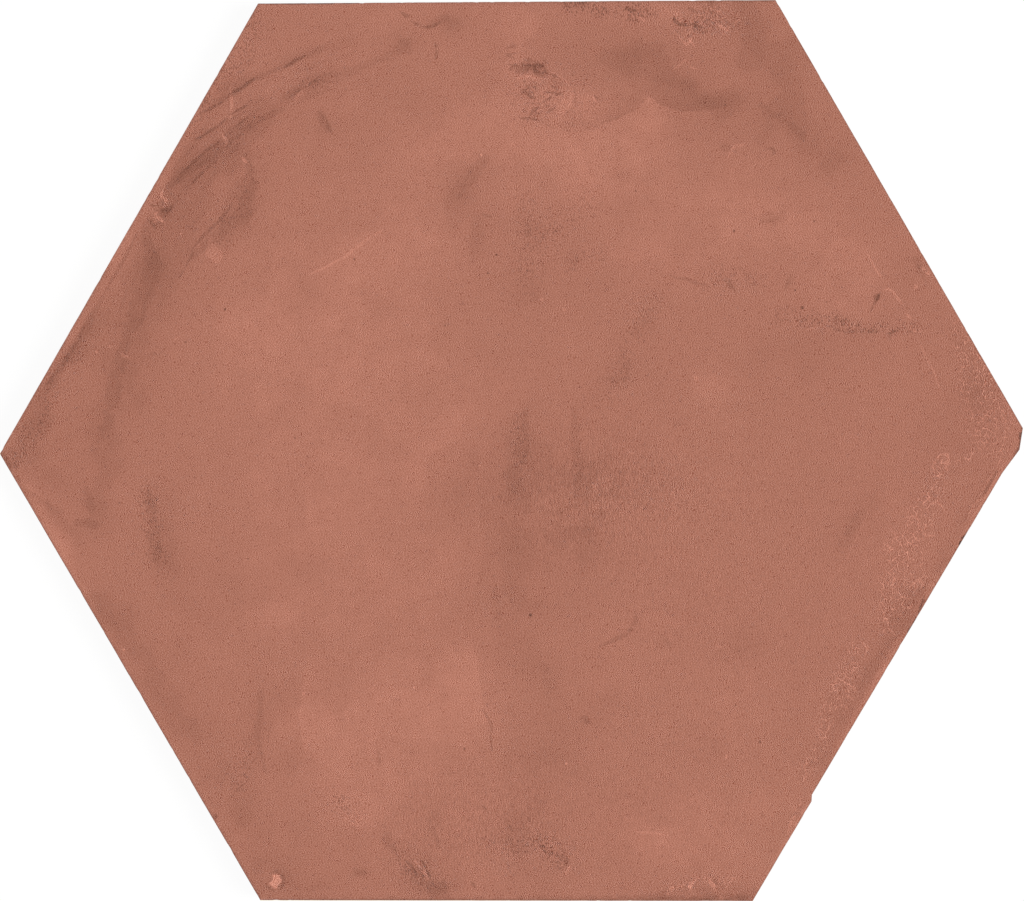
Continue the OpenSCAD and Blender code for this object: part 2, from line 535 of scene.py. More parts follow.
    light_clouds: tuple[Cloud, ...] = marks(Cloud,
        # top left
        (-38, 95, 6, 4, 2), (-39, 85, 5, 5, 3), (-70, 62, 5, 4, 2), (-78, 59, 4, 3, 5), (-80, 52, 5, 5, 2),
        (-40, 45, 12, 6, 3),
        # top middle
        (-30, 102, 5, 4, 2), (0, 102, 6, 4, 2), (30, 102, 5, 4, 1.5), (4, 100, 6, 6, 4), (-8, 97, 16, 6, 2),
        (0, 91, 5, 4, 3), (12, 83, 6, 5, 4), (0, 82, 6, 5, 2.5), (10, 82, 6, 5, 4), (20, 82, 5, 4, 2),
        (21, 82, 6, 4, 5), (33.7, 82, 1, 2.5, 8), (-7, 79, 12, 6, 6), (33, 79, 8, 4, 5, 60),
        (-23, 74, 10, 6, 4), (10, 74, 6, 4, 4), (-4, 73, 8, 5, 5), (20, 73, 16, 8, 6), (-10, 72, 4, 4, 2),
        (0, 72, 5, 4, 2), (18, 68, 10, 8, 5), (-24, 66, 12, 8, 4), (0, 62, 5, 4, 4.5), (20, 62, 6, 5, 2),
        (26, 62, 8, 4, 2), (-30, 57, 6, 6, 2), (-22, 52, 9, 7, 4), (10, 52, 5, 4, 1.5), (31, 48, 8, 5, 4),
        (-28, 46, 9, 7, 4), (-12, 46, 4, 6, 2), (10, 42, 5, 4, 1.5),
        # top right
        (36, 104, 2, 1.5, 6), (40, 103.8, 1.2, 0.8, 8), (43, 102.3, 1.2, 1, 9), (40, 102, 5, 4, 2.5),
        (49, 87, 4, 2, 6, 35), (50, 62, 4, 4, 2), (52, 57, 18, 12, 5), (66, 53, 18, 7, 3),
        (80, 48, 10, 7, 5, -30), (40, 43, 5, 4, 3), (100, 42, 5, 4, 1.5),
        # left
        (-90, 37, 4, 6, 2), (-90, 32, 5, 6, 2), (-70, 32, 5, 5, 1.5), (-40, 32, 5, 4, 1.5),
        (-40, 31, 5, 4, 3), (-60, 27, 9, 10, 4), (-42, 22, 24, 30, 6.5, 15), (-41, 22, 5, 4, 2),
        (-100, 12, 5, 6, 2), (-60, 12, 5, 4, 3), (-120, 2, 4, 4, 1.5), (-60, -8, 6, 5, 3),
        (-96, -10, 4, 4, 4), (-114, -12, 1.6, 4, 6, 30), (-110, -21, 6, 3, 8, -60), (-38, -25, 32, 26, 4),
        (-60, -28, 4, 5, 2), (-100, -37, 3, 4, 3),
        # middle
        (-20, 22, 6, 5, 2), (-5, 12, 8, 4, 1.5), (-12, 7, 10, 7, 4), (-20, 2, 5, 5, 2), (-21, -8, 4, 4, 3),
        (-32, -28, 6, 5, 2),
        # right
        (80, 39, 8, 6, 4), (80, 34, 6, 4, 2), (80, 32, 6, 4, 1.5), (48, 14, 5, 5, 5), (50, -8, 5, 4, 1.5),
        (95, -22, 8, 12, 3), (51, -28, 5, 5, 2),
        # bottom left
        (-57, -41, 9, 5, 5, 20), (-70, -48, 5, 4, 3), (-59, -68, 5, 6, 3), (-40, -68, 6, 5, 4),
        (-44, -72, 7, 8, 4), (-40, -88, 5, 4, 3.5),
        # bottom middle
        (-12, -57, 6, 8, 6), (20, -57, 5, 4, 3), (-20, -58, 4, 4, 2), (-28, -64, 20, 13, 7, 10),
        (-14, -66, 8, 8, 3), (-20, -78, 5, 4, 2), (-33, -82, 10, 7, 4), (-35, -88, 7, 4, 3),
        (-10, -88, 5, 4, 1.5), (33, -95, 9, 7, 4), (30, -98, 6, 5, 1.5),
        # bottom right
        (50, -60, 12, 8, 3), (55, -68, 6, 4, 2), (61, -86, 6, 6, 3), (48, -92, 14, 12, 5),
        (60, -98, 5, 4, 2),
    )
    rim_smears_and_arris_shading: tuple[Smear, ...] = courses(Smear, 0,
        # painted light: a pale strip along the dressed stretch, where its arris faces the key light, and the
        # narrow one past the step
        ((120, -2, 0.8, 4), (116.4, -6.6, 0.7, 10), (109.4, -18.6, 0.6, 4), (105.6, -25, 0.6, 2)),
        ((102.5, -29.5, 0.8, 8), (100, -34, 0.8, 12), (97, -39, 0.5, 2)),
        ((94.4, -44, 0.7, 8), (91.4, -49, 0.9, 14), (87, -56.4, 0.9, 12), (84, -61.6, 0.7, 8),
         (78, -72, 0.6, 3)),
        ((71, -86, 0.7, 9), (64, -97, 0.5, 5)),
        # brown groove just inside it
        ((115, -5.8, 0.6, -7), (112.6, -10.4, 0.7, -8), (107.4, -18.2, 0.6, -3)),
        ((100.6, -34.4, 0.6, -9), (98.4, -38, 0.7, -14), (95.4, -43, 0.6, -9), (91, -51, 0.6, -4)),
        # painted light: pale rims along the left-hand sides, lifting the shade that the key light from the
        # right leaves on their arrises
        ((-64, 99, 1, 2), (-76, 79, 1, 3), (-90, 54, 1.4, 7), (-97, 41, 1.2, 7), (-104, 30, 1, 6),
         (-113, 15, 0.7, 3)),
        ((-119, -6, 0.8, 3), (-108, -25, 1.2, 6), (-95, -48, 0.8, 4), (-70, -90, 0.7, 4)),
        # painted light and shade along the top and bottom arrises: pale on the left of the top side and dark
        # on its right, a faint pale band just inside the top side, and dark along the bottom side
        ((-58, 107.1, 0.35, 7), (-20, 107.4, 0.35, 5), (10, 107.7, 0.35, -1), (62, 108, 0.35, -5)),
        ((-58, 105.4, 2, 1.5), (0, 105.6, 2, 1.5), (60, 106, 2, 1.5)),
        ((-58, -107.8, 0.35, -6), (0, -107.8, 0.35, -8), (36, -107.6, 0.5, -14), (56, -107.6, 0.5, -18)),
        # left-hand corner
        ((-122, -0.9, 0.5, -12), (-121.4, -1.8, 0.3, -34), (-120.9, -3, 0.3, -34), (-120, -4, 0.3, -12)),
        ((-118.4, -6.6, 0.4, -22), (-118.2, -7, 0.4, -22)),
        # spots on the top side
        ((47.8, 107.6, 0.5, -26), (48.2, 106.6, 0.4, -24)),
        ((13, 107.2, 0.4, -16), (15, 106.4, 0.4, -14), (17, 107.2, 0.4, -16)),
    )
    smudges: tuple[Smear, ...] = courses(Smear, 0,
        # brushed streaks of the sweep round the upper left
        ((-82, 63.5, 1, 0.7), (-76, 68.3, 1.8, 0.95), (-70, 73, 2.1, 1), (-65, 77.5, 1.6, 1),
         (-60, 79.7, 1.3, 0.95), (-55, 82, 1, 0.8)),
        ((-76, 74.5, 0.7, 0.8), (-72, 77, 0.8, 0.95), (-68, 79.8, 0.6, 0.8)),
        ((-74, 81, 0.9, 0.75), (-68, 85, 1, 0.95), (-61, 89.6, 0.9, 0.8), (-55, 92, 0.8, 0.7),
         (-50, 94.6, 1, 0.95), (-43, 98, 0.8, 0.6)),
        ((-54, 84.5, 1.6, 0.75), (-50, 87, 2.2, 0.9), (-45, 89.5, 1.8, 0.75), (-38, 91.3, 1.8, 0.6),
         (-31, 94, 1.8, 0.6), (-25.6, 97, 2.4, 0.75)),
        ((-46.2, 81.3, 1, 0.9), (-44.8, 79, 1.5, 1), (-43.8, 76.8, 1.2, 0.8)),
        ((-63.5, 71, 1.5, 0.6), (-62.5, 63, 2, 0.7), (-64.5, 56, 2.6, 0.9), (-69.5, 53, 2, 0.8),
         (-77, 46, 1, 0.75)),
        ((-82.6, 58, 1.2, 0.85), (-84.6, 54, 1.4, 0.8)),
        ((-88, 53, 1.2, 0.7), (-86, 43, 3.2, 0.85), (-90, 33, 3, 0.8), (-94, 22, 2.5, 0.7),
         (-98, 4, 2.5, 0.6)),
        ((-97, 39, 0.8, 0.7), (-103.6, 27, 1.2, 0.9), (-110, 17.5, 1.4, 0.85), (-114, 12, 1, 0.6)),
        ((-16, 104, 1.5, 0.8), (-20, 101.5, 1.2, 0.7)),
        # marks between the veil and the upper right side
        ((60, 83, 1.4, 0.6), (66, 79, 1.8, 0.7), (70, 75, 1.5, 0.6)),
        ((51, 72.8, 1.2, 0.9), (53.4, 72.2, 0.9, 0.8)),
        # oval mark above the middle, and the grey patch under it
        ((-6.4, 70, 1.4, 0.85), (-7.5, 68, 1.8, 0.8), (-10.5, 64.5, 2.4, 0.6), (-13, 61, 2.4, 0.4)),
        ((2, 56, 4, 0.35), (7, 51, 5, 0.45), (14, 48, 4, 0.4)),
        # short marks on the right
        ((60, 54.6, 0.8, 0.8), (64, 55.6, 0.9, 0.9)), ((66.8, 41.6, 0.6, 0.8), (65.8, 39, 0.6, 0.8)),
        ((86, -12, 2.4, 0.45), (83.6, -16.6, 3, 0.45), (80.4, -21.6, 2.6, 0.62), (77.4, -25.4, 1.5, 0.45)),
        ((97, 46, 1.2, 0.75), (100, 40, 1, 0.65)),
        # dark patch down the middle
        ((3.2, 9, 1.2, 0.65), (3.2, 1, 1.6, 0.75), (0, -7, 3.5, 0.65), (3, -14, 3, 0.6)),
        ((15, 9, 2, 0.6), (16, 0, 2.5, 0.6), (16, -6, 2.5, 0.6)),
        ((27, 23, 2, 0.6), (28, 18, 2, 0.65), (20, 16, 2, 0.55)),
        ((-4, -33, 1.5, 0.6), (-3, -40, 1.5, 0.6)),
        # left-hand side
        ((-87.4, -9, 1.5, 0.7), (-86, -19, 2, 0.85), (-85, -27, 1.6, 0.65)),
        ((-102, -9, 1.4, 0.7), (-101, -14, 1.6, 0.75)),
        ((-104.6, -17.4, 1, 0.85), (-101.6, -17.4, 1.2, 0.9), (-98.6, -18, 1, 0.75)),
        ((-111.6, -12, 0.7, 0.8), (-110.6, -13.4, 0.8, 0.8), (-107.6, -14.6, 0.7, 0.75)),
        ((-60, -58, 1.2, 0.75), (-61, -69, 1.5, 0.75), (-59, -77, 1, 0.55)),
        # bottom
        ((-30, -93.4, 1.4, 0.7), (-27.6, -96.2, 1.2, 0.7)),
        ((-25.4, -100.4, 1.2, 0.7), (-22, -103, 1.2, 0.8), (-17.6, -105.4, 2.4, 0.95),
         (-14.6, -107.6, 1.4, 0.7)),
        ((-37.4, -101, 1, 0.8), (-36.8, -101.4, 1, 0.8)),
        ((-19.8, -88.4, 0.9, 0.7), (-17.4, -95, 0.9, 0.65)),
        ((48.3, -69.6, 0.6, 0.8), (48.7, -71, 0.6, 0.8)),
        ((37.2, -45.4, 0.9, 0.75), (38, -47.2, 0.8, 0.75)), ((34, -107, 0.8, 0.8), (38, -107.6, 0.6, 0.8)),
        ((43, -107.4, 0.8, 0.8), (52, -107.2, 0.9, 0.9), (58, -107, 0.8, 0.9)),
        # torn patch
        ((-0.2, 91.8, 0.5, 0.7), (2.6, 92.3, 0.9, 0.9), (6, 91.8, 1.2, 1), (8.2, 90.8, 0.6, 0.7)),
    )
    films: tuple[Film, ...] = courses(Film, 1,
        # lower edge of the veil on the right of the torn patch, and of the one under that patch
        (5, (33.4, 84.9, -5), (35.6, 83, -7), (41, 81.3, -7), (47, 81.6, -6), (54, 83, -2)),
        (3.5, (6, 79, -3), (14, 77.2, -5), (20, 77.8, -5), (26, 80, -5), (32.6, 84.4, -4)),
        # left-hand edges of the veil under the oval mark and of the dark patch down the middle
        (5, (-13.6, 64, -3), (-16.6, 59, -3), (-15, 54, -2)),
        (4, (-9.5, 54.5, -3), (-10, 49, -3), (-10.5, 45, -2)),
        (5, (-5.4, -1, -1), (-8.4, -11, -2), (-6, -22, -1.5), (-9, -35, -2)),
        # light patch low on the left: its left-hand and right-hand edges
        (4, (-50, -56, 3), (-51, -64, 4), (-50, -71, 4)),
        (5, (-6.4, -63, 2), (-7.6, -56, 4), (-8.6, -48, 3)),
        # dark left-hand corner: its edge towards the pale strip
        (3, (-103, -21, -2), (-107, -16.4, -4), (-112, -12, -5), (-116.4, -8.6, -4)),
        # pale flake beside the sweep
        (9, (-72.6, 50, 6), (-73.6, 47, 6), (-70.4, 44.6, 6), (-69, 47.4, 6), (-71.6, 49.8, 6),
         (-72.8, 49.8, 6)),
        # where the skin has flaked off
        (9, (-57.8, -104.3, 24), (-57.2, -104.9, 24), (-56.5, -105.6, 24), (-55.9, -104.6, 24),
         (-55.1, -103.6, 24), (-55.3, -102.4, 24), (-56, -101.7, 24), (-57.2, -101.7, 24),
         (-57.4, -102.9, 24), (-58.5, -104.2, 24), (-57.8, -104.3, 24)),
    )
    lines: tuple[Line, ...] = courses(Line, 2,
        # painted shade: a dark line on the arris of the top side, on the left
        (-26, 0.2, (-60.6, 107.35), (-50, 107.4), (-36, 107.5)),
        # streaks in the sweep round the upper left
        (-14, 0.3, (-54.8, 91.8), (-52.4, 93.4), (-49.4, 94.9)),
        (-10, 0.25, (-73.6, 81.4), (-71, 82.8), (-68.8, 84.4)),
        (-12, 0.3, (-67.8, 85.4), (-64.7, 87.2), (-61.2, 89.8)),
        (-10, 0.25, (-76, 74.5), (-72, 77), (-68.4, 79.6)),
        (-13, 0.25, (-68, 80.4), (-66, 81.6), (-63.4, 83)),
        (-9, 0.25, (-65.6, 78.2), (-63.6, 79.8), (-61.8, 80.6)),
        (-10, 0.3, (-79.6, 66.4), (-76, 69.6), (-72.6, 72.6), (-69.6, 74.4)),
        (-8, 0.3, (-77, 64), (-73.6, 67.4), (-70.6, 69.8)),
        (-9, 0.3, (-53.6, 84.6), (-51.6, 86.4), (-48.8, 87.6), (-46.6, 89.4)),
        (-14, 0.5, (-86.6, 59), (-84.6, 57.8), (-82.6, 57.6), (-81.4, 59)),
        (-12, 0.4, (-87.2, 55.4), (-85.8, 53.8)),
        (-12, 0.4, (-26.5, 105.2), (-25.6, 104.4), (-24.6, 104.6)),
        (-12, 0.35, (-24, 103), (-21, 101.6), (-18.8, 101.9), (-17, 103)),
        (-10, 0.35, (-18.4, 98), (-17.8, 96), (-18.4, 94)),
        (-8, 0.35, (-46.2, 81.2), (-44.6, 79), (-43.6, 76.6)),
        (16, 0.35, (-83.6, 62.6), (-84.2, 61), (-82.8, 60), (-83.6, 58.6)),
        (20, 0.5, (-86.2, 57.4), (-85.2, 56.4), (-83.6, 54.8)),
        (-10, 0.35, (-67.4, 58.6), (-71, 54.4), (-74, 51.6), (-76.4, 48.8)),
        (-8, 0.3, (-75.4, 49.6), (-77.6, 45.4), (-79.8, 41.4)),
        (-8, 0.4, (-90, 52), (-93.4, 45.4), (-97, 39.6)),
        (-7, 0.4, (-102.6, 30), (-104.6, 25.6), (-108, 20.6), (-112, 15.4)),
        (8, 0.3, (-90.8, 56), (-94, 49), (-97.6, 43)),
        (12, 0.35, (-93.8, 23.3), (-93.2, 22.8), (-91.8, 22.5)),
        (-8, 0.3, (-86.8, 23), (-86, 23.4), (-84.8, 23)), (7, 0.25, (-81.8, 26.3), (-79.5, 27.6)),
        # torn patch below the top side: the dark lens with its tail, and what is under it
        (-13, 1, (-0.3, 91.6), (1.2, 91.9), (3.3, 91.8), (5.5, 91.8), (7.4, 91.3), (8.3, 90.7)),
        (5, 0.3, (9.4, 90.9), (11.6, 89.9), (13.4, 88.2), (14.5, 86.2), (14.4, 83.8), (13, 81.8),
         (10.6, 80.8)),
        (-6, 0.3, (7.6, 78.4), (11, 77.2), (15, 76.8), (19, 77.3), (23, 78.9), (27, 80.6), (30.6, 82.6)),
        (-9, 0.3, (15, 86.8), (15.4, 84.6), (14.8, 82.6), (13, 80.8)),
        (9, 0.3, (1.4, 89.4), (4.6, 89.8), (8, 89.2)), (-10, 0.3, (-1.4, 94.5), (-0.4, 94.8), (0.8, 93.8)),
        (-9, 0.4, (-0.9, 96.7), (0, 97.1), (1, 97.1)),
        (-16, 0.34, (2.4, 85.6), (3.2, 86.1), (4.2, 85.2), (5.5, 84.4)),
        (-17, 0.32, (7.9, 83.9), (9.2, 84.4), (10, 85.2), (11.7, 85.9)),
        (-17, 0.45, (4.8, 81.1), (5.4, 81.9), (6.2, 82.4)),
        (-16, 0.3, (2.1, 79.7), (3.5, 79.8), (4.4, 79.9), (5.6, 79.5), (7.5, 79.6)),
        (-8, 0.3, (-0.2, 83.1), (1.6, 82.9)), (-15, 0.25, (3.8, 87.6), (4.8, 87.2), (5.8, 87.4)),
        (-14, 0.25, (9.2, 87.8), (10.2, 87.2), (11, 87.4)),
        (-15, 0.25, (8.6, 81.4), (9.8, 81.8), (10.6, 82.6)), (-10, 0.2, (6.4, 85.8), (7, 85)),
        (-10, 0.2, (10.8, 83.4), (11.6, 83.8)), (10, 0.3, (19.4, 85.6), (19.9, 84.4), (20.4, 83.6)),
        # crumbled corner of the veil, under the top side
        (-22, 0.4, (44.2, 102.8), (43.7, 102.2), (44.3, 101.7), (44.7, 102.3)),
        (-18, 0.35, (39, 104.3), (39, 103.2), (39.9, 102.6), (42.4, 101.9)),
        (-14, 0.35, (45, 101), (46, 100.4), (46.8, 100.8)),
        (-12, 0.4, (42.5, 106.2), (43.4, 105.6), (44.4, 105.2)),
        (12, 0.25, (40.1, 99.7), (41.1, 98.4), (41.9, 97.2), (42.9, 98.4), (43.6, 99.6)),
        (8, 0.25, (38.6, 91.1), (39.4, 92), (40.7, 92.6), (41.4, 93.7), (42.6, 93.3)),
        (11, 0.25, (42.9, 92.6), (43.3, 92), (44.3, 91.5)),
        (12, 0.4, (49.6, 102.2), (50.6, 101.5), (52, 100.8)),
        (-12, 0.4, (27.4, 106.2), (28.8, 105.6), (30.4, 105.6)),
        (10, 0.3, (30.4, 104.4), (31.2, 103.6), (32.2, 102.9)),
        (-9, 0.3, (61.4, 72.4), (62.6, 72.6), (63.3, 71.6), (62.6, 70.8)),
        (9, 0.4, (52, 70.6), (53.6, 73), (56, 73.6)),
        # scratch across the upper left of the middle
        (8, 0.25, (-48.6, 42.2), (-44, 44.4), (-41, 46.2)),
        (7, 0.35, (-40.4, 45.9), (-38.3, 48.1), (-34.8, 50.6), (-31, 53)),
        (-8, 0.3, (-7.2, 56.8), (-5.8, 56.2), (-4.6, 56.4)),
        # pitted line towards the right-hand corner
        (-12, 0.2, (79.4, 28.6), (81, 28.5), (82.4, 29)),
        (-12, 0.2, (90.2, 28.1), (91.4, 28.2), (92.2, 28.9)),
        (-14, 0.3, (88.6, 38), (87.7, 36.6), (86.9, 35), (86.1, 33.2)),
        (11, 0.3, (89.3, 38.6), (90.6, 38.8), (91.6, 38), (92.7, 36.4), (94, 34.9)),
        (11, 0.3, (94.6, 32.9), (95.4, 32.2), (95.9, 31.5)),
        (13, 0.3, (95.6, 30.4), (96.2, 29), (97.2, 28.4), (98.6, 28.8)),
        (8, 0.2, (97.6, 26.6), (99.4, 22.6), (101.6, 18.4), (102.8, 14.6)),
        (8, 0.3, (70.8, 29), (71.8, 29.2), (72.9, 29.5)),
        (9, 0.25, (85.2, 47.6), (86.2, 45.8), (87.6, 43.2), (89, 41.1)),
        (15, 0.4, (98.4, 44), (99.3, 43.2), (100.4, 42.2)),
        (-16, 0.5, (98, 45), (97.9, 44.2), (98.5, 43.5)),
        (-9, 0.25, (76.6, 29.9), (78.2, 29), (80, 28.4), (83, 28.6)),
        (-9, 0.25, (84.4, 28.6), (86.6, 28.4), (88.4, 28.6)),
        # painted shadow along the broken edge at the right-hand corner, and dark chips and grooves below it
        (-30, 0.4, (122.7, 5.6), (122.4, 4), (122.2, 2.6)),
        (-20, 0.3, (122.3, 3), (122, 1.4), (121.6, 0.2), (120.6, -1.4)),
        (-24, 0.4, (121, -0.6), (120.4, -1.2)), (-50, 0.3, (109.2, -19.8), (108.5, -21.2), (107.5, -22.8)),
        (-22, 0.3, (99, -35.4), (98.6, -36.8), (97.8, -38.6)),
        (-30, 0.25, (97.4, -40.2), (96.2, -42.2), (94.8, -44.6)),
        (-12, 0.25, (116.6, -5), (114.4, -8.8), (111.8, -13.4)),
        (10, 0.3, (115.6, -5.2), (113.2, -9.4), (110.6, -14.2)),
        # curled skin along the right-hand side
        (12, 0.25, (109.2, -2.8), (110, -1.8), (111.4, 0)),
        (13, 0.28, (101, -4), (102.4, -1.2), (104.6, -0.8), (105.2, -3.6), (103.4, -3), (104.8, -5.4)),
        (12, 0.25, (101, -6.4), (102.6, -6), (103.6, -6.6)),
        (12, 0.25, (98.4, -13), (99.8, -11.6), (101, -13), (102.2, -12), (103.8, -14.2)),
        (13, 0.3, (98.6, -20.1), (100, -20.5), (101.8, -20.2)),
        (11, 0.25, (94.4, -16.2), (96.6, -15.6), (98, -16.8), (97.4, -18.6)),
        (13, 0.25, (109.6, -15.2), (111, -13.4), (112.6, -11.6)),
        (11, 0.25, (89.4, -22.4), (90.8, -23.6), (92.4, -24.2)),
        (11, 0.25, (95, -33.4), (96.4, -31.8), (98, -31), (98.8, -31.8), (98, -33)),
        (14, 0.28, (93.8, -37.4), (94.8, -38), (96.2, -37.6), (96.2, -36.6)),
        (11, 0.25, (90, -29), (92, -30.6), (91, -33), (93.4, -34.4)),
        (12, 0.25, (88, -39.6), (90, -40.6), (90.4, -42.6), (92.4, -44.6)),
        (11, 0.25, (84, -46), (85.6, -47.4), (84.6, -49.6)),
        (10, 0.25, (79, -55), (81, -56.4), (80.4, -58.6), (82.2, -60)),
        (10, 0.25, (75, -64), (76.6, -65.8), (75.2, -68)), (10, 0.25, (70.2, -76), (71, -78), (69.4, -80)),
        (9, 0.25, (68.6, -87), (67, -89.4), (66, -92.4)),
        # pinched crease, right of the bottom of the dark patch
        (-9, 0.45, (21.3, -47), (24.1, -45.7), (26.4, -44.8), (28.7, -43), (29.8, -41.4), (29.7, -38.7)),
        (7, 0.3, (49, -46.8), (50, -47.2), (51, -46.8)),
        # marks along the bottom
        (14, 0.5, (37.3, -106.6), (38, -105.8), (38.8, -104.6)),
        (16, 0.6, (42.6, -105.8), (43, -104.4), (43.6, -103)),
        (13, 0.5, (47.4, -102.8), (48.2, -104.2), (49, -105.4)),
        (14, 0.5, (49.7, -106.8), (50.3, -107.4), (50.8, -107.9)),
        (8, 0.3, (30, -91.7), (33, -91.8), (36.2, -92.1)),
        (-12, 0.3, (-25.6, -98.2), (-24, -100), (-22.8, -101.8)),
        (-13, 0.3, (-21.6, -98.4), (-20.4, -100.4), (-19.6, -102.6)),
        (15, 0.3, (-22.9, -102.9), (-22.2, -102.6)), (-12, 0.5, (7, -94.8), (8.4, -96), (9.8, -97.2)),
        (-7, 0.35, (10.6, -97.6), (12, -97), (13.6, -98.4), (13, -100), (11.4, -100.6)),
        (14, 0.35, (13, -102), (13.3, -100.8), (14, -99.8)), (-10, 0.35, (-6.8, -85.2), (-6, -86.6)),
        (-10, 0.3, (-0.8, -89.6), (-0.2, -91)), (-9, 0.3, (4, -88), (4.8, -90)),
        (-10, 0.35, (-9.6, -103.6), (-8.8, -105)),
        (-8, 0.3, (-8, -62.8), (-7, -62.2), (-5.8, -64), (-4.8, -66), (-5.1, -68.3), (-4.7, -72)),
        (9, 0.3, (0.4, -47), (0.5, -48.8)),
        (-9, 0.3, (16.6, -64.4), (17.4, -63.9), (18.4, -64.5), (18, -65.5), (17, -65.4)),
        (-6, 0.4, (-32, -72), (-32, -76)),
        # painted shadow: dark lines round the rim of the flaked spot, where its edge shades the hollow
        (-8, 0.3, (-57.8, -101.4), (-56.6, -101), (-55, -101.8), (-54.6, -103.8), (-55.4, -105.2)),
        (-8, 0.25, (-58.9, -104.6), (-58, -105.2), (-57, -106.1)),
        # smudges of the middle
        (8, 0.3, (28, -0.2), (28.8, -0.8), (29.6, -0.3)), (12, 0.5, (38.4, -10.6), (38.8, -9.8)),
        (14, 0.5, (30.3, 35.8), (30.6, 36.9)),
        (-7, 0.3, (37.6, 42.3), (39.6, 41.4), (42, 41.2), (44.6, 40), (46.8, 39.9)),
        (-10, 0.5, (51.4, 41.6), (52.4, 39.8), (53.6, 38.2)), (-8, 0.3, (57.4, 40), (58.6, 39.8)),
        (13, 0.4, (51.3, -74), (51.7, -73)), (-8, 0.3, (60.2, -86.8), (60.4, -88.6)),
        (-7, 0.3, (39.4, 6.2), (41, 6.4)),
    )
    crossing_lines: tuple[Line, ...] = courses(Line, 2,
        (9, 0.4, (-52, 84.6), (-50, 86.4), (-48.6, 88.6)),
        (11, 0.3, (-67.5, 87), (-67.2, 83), (-67.6, 79.6)),
        (18, 0.4, (-69.4, 75.8), (-68.6, 74.4), (-69, 72.8)), (14, 0.4, (-64.6, 70.2), (-63.6, 69.2)),
        (-12, 0.8, (2.6, 92.7), (4, 93.3), (5.6, 92.6), (7.6, 92.4)),
        (-10, 0.6, (5, 90.6), (6.6, 90.3), (7.8, 90.2)), (-14, 0.35, (9.9, 90.3), (10.7, 89.7)),
        (-9, 0.3, (0.7, 92.6), (1.2, 92.8)), (-10, 0.3, (7.7, 93.9), (8.4, 93.1)),
        (-8, 0.3, (7.8, 86), (8.9, 86.1)), (-9, 0.3, (2.6, 81.5), (3.5, 81.6)),
        (-9, 0.3, (7.6, 82.6), (8.4, 83)), (-13, 0.4, (20, 85.1), (20.5, 84.2)),
        (12, 0.25, (43, 99.4), (42.4, 98.6), (42.9, 98.4), (44, 96.9)),
        (-9, 0.4, (77, 30.2), (77.6, 31.4), (78.2, 32.6)), (-9, 0.4, (79.2, 30), (79.8, 31), (80.4, 31.6)),
        (-9, 0.35, (91, 28.6), (90.8, 26.8)), (-9, 0.35, (83.4, 29.4), (83.2, 31)),
        (8, 0.25, (96.2, -31.6), (97.4, -32.8), (96.4, -34.2)), (12, 0.25, (102.6, -3.4), (103.8, -1.8)),
        (14, 0.3, (-23.6, -98), (-22.2, -99.8), (-20.9, -101.6), (-20, -102.8)),
        (12, 0.4, (42, -104.8), (43.2, -104.8)), (-10, 0.4, (48.6, -103.2), (49.4, -104.4)),
        (-9, 0.4, (12.2, -98.6), (13.4, -99.2)),
    )
    dots: tuple[Dot, ...] = marks(Dot,
        (3.4, 95.7, 0.2, -9), (14.7, 90.1, 0.2, -9), (3.1, 88.6, 0.3, -12), (17.2, 86.8, 0.2, -9),
        (31.5, 83.7, 0.2, -9), (51.3, 83, 0.2, -14), (18.1, 81.4, 0.2, -9), (10.5, 80.9, 0.2, -9),
        (0.8, 79.6, 0.2, -9), (-7.3, 71, 0.32, 20), (29.8, 62.3, 0.2, -16), (72.7, 55.1, 0.2, -18),
        (53.4, 52.7, 0.26, -22), (-79.4, 52, 0.3, 10), (-3.6, 47, 0.2, -26), (-37.8, 46, 0.2, -20),
        (3.7, 43.2, 0.2, -18), (-5.7, 42.6, 0.2, -22), (97, 39.3, 0.5, 10), (68.1, 38.5, 0.2, -22),
        (87.7, 36.8, 0.7, -16), (7.2, 36.2, 0.4, 10), (75.6, 35.6, 0.2, -14), (69.8, 34.3, 0.34, -26),
        (-68.8, 33.9, 0.26, -26), (12.6, 33.8, 0.34, 8), (-16, 30, 0.22, -14), (-78.3, 26, 0.22, -16),
        (-96.6, 25, 0.3, 10), (-99.7, 23.7, 0.34, 12), (44.2, 17.4, 0.5, 8), (-29, 12, 0.2, -14),
        (72, 8, 0.2, -12), (-52, 3, 0.22, -13), (-7.7, -3.7, 0.3, 10), (19.6, -8.4, 0.4, 10),
        (-94.2, -12.6, 0.2, -14), (-63.3, -26, 0.2, -14), (24, -32, 0.22, -13), (4.5, -39.5, 0.3, -26),
        (-93.2, -47.9, 0.4, 14), (-23.4, -56.9, 0.3, 16), (-50, -58.4, 0.4, 8), (53.8, -61.2, 0.2, -18),
        (59.6, -70, 0.26, -18), (-11.3, -71.6, 0.2, -24), (13.1, -75.2, 0.32, 20), (57.3, -82.1, 0.2, -15),
        (-71.3, -87.8, 0.6, -12), (36, -88, 0.2, -12),
    )
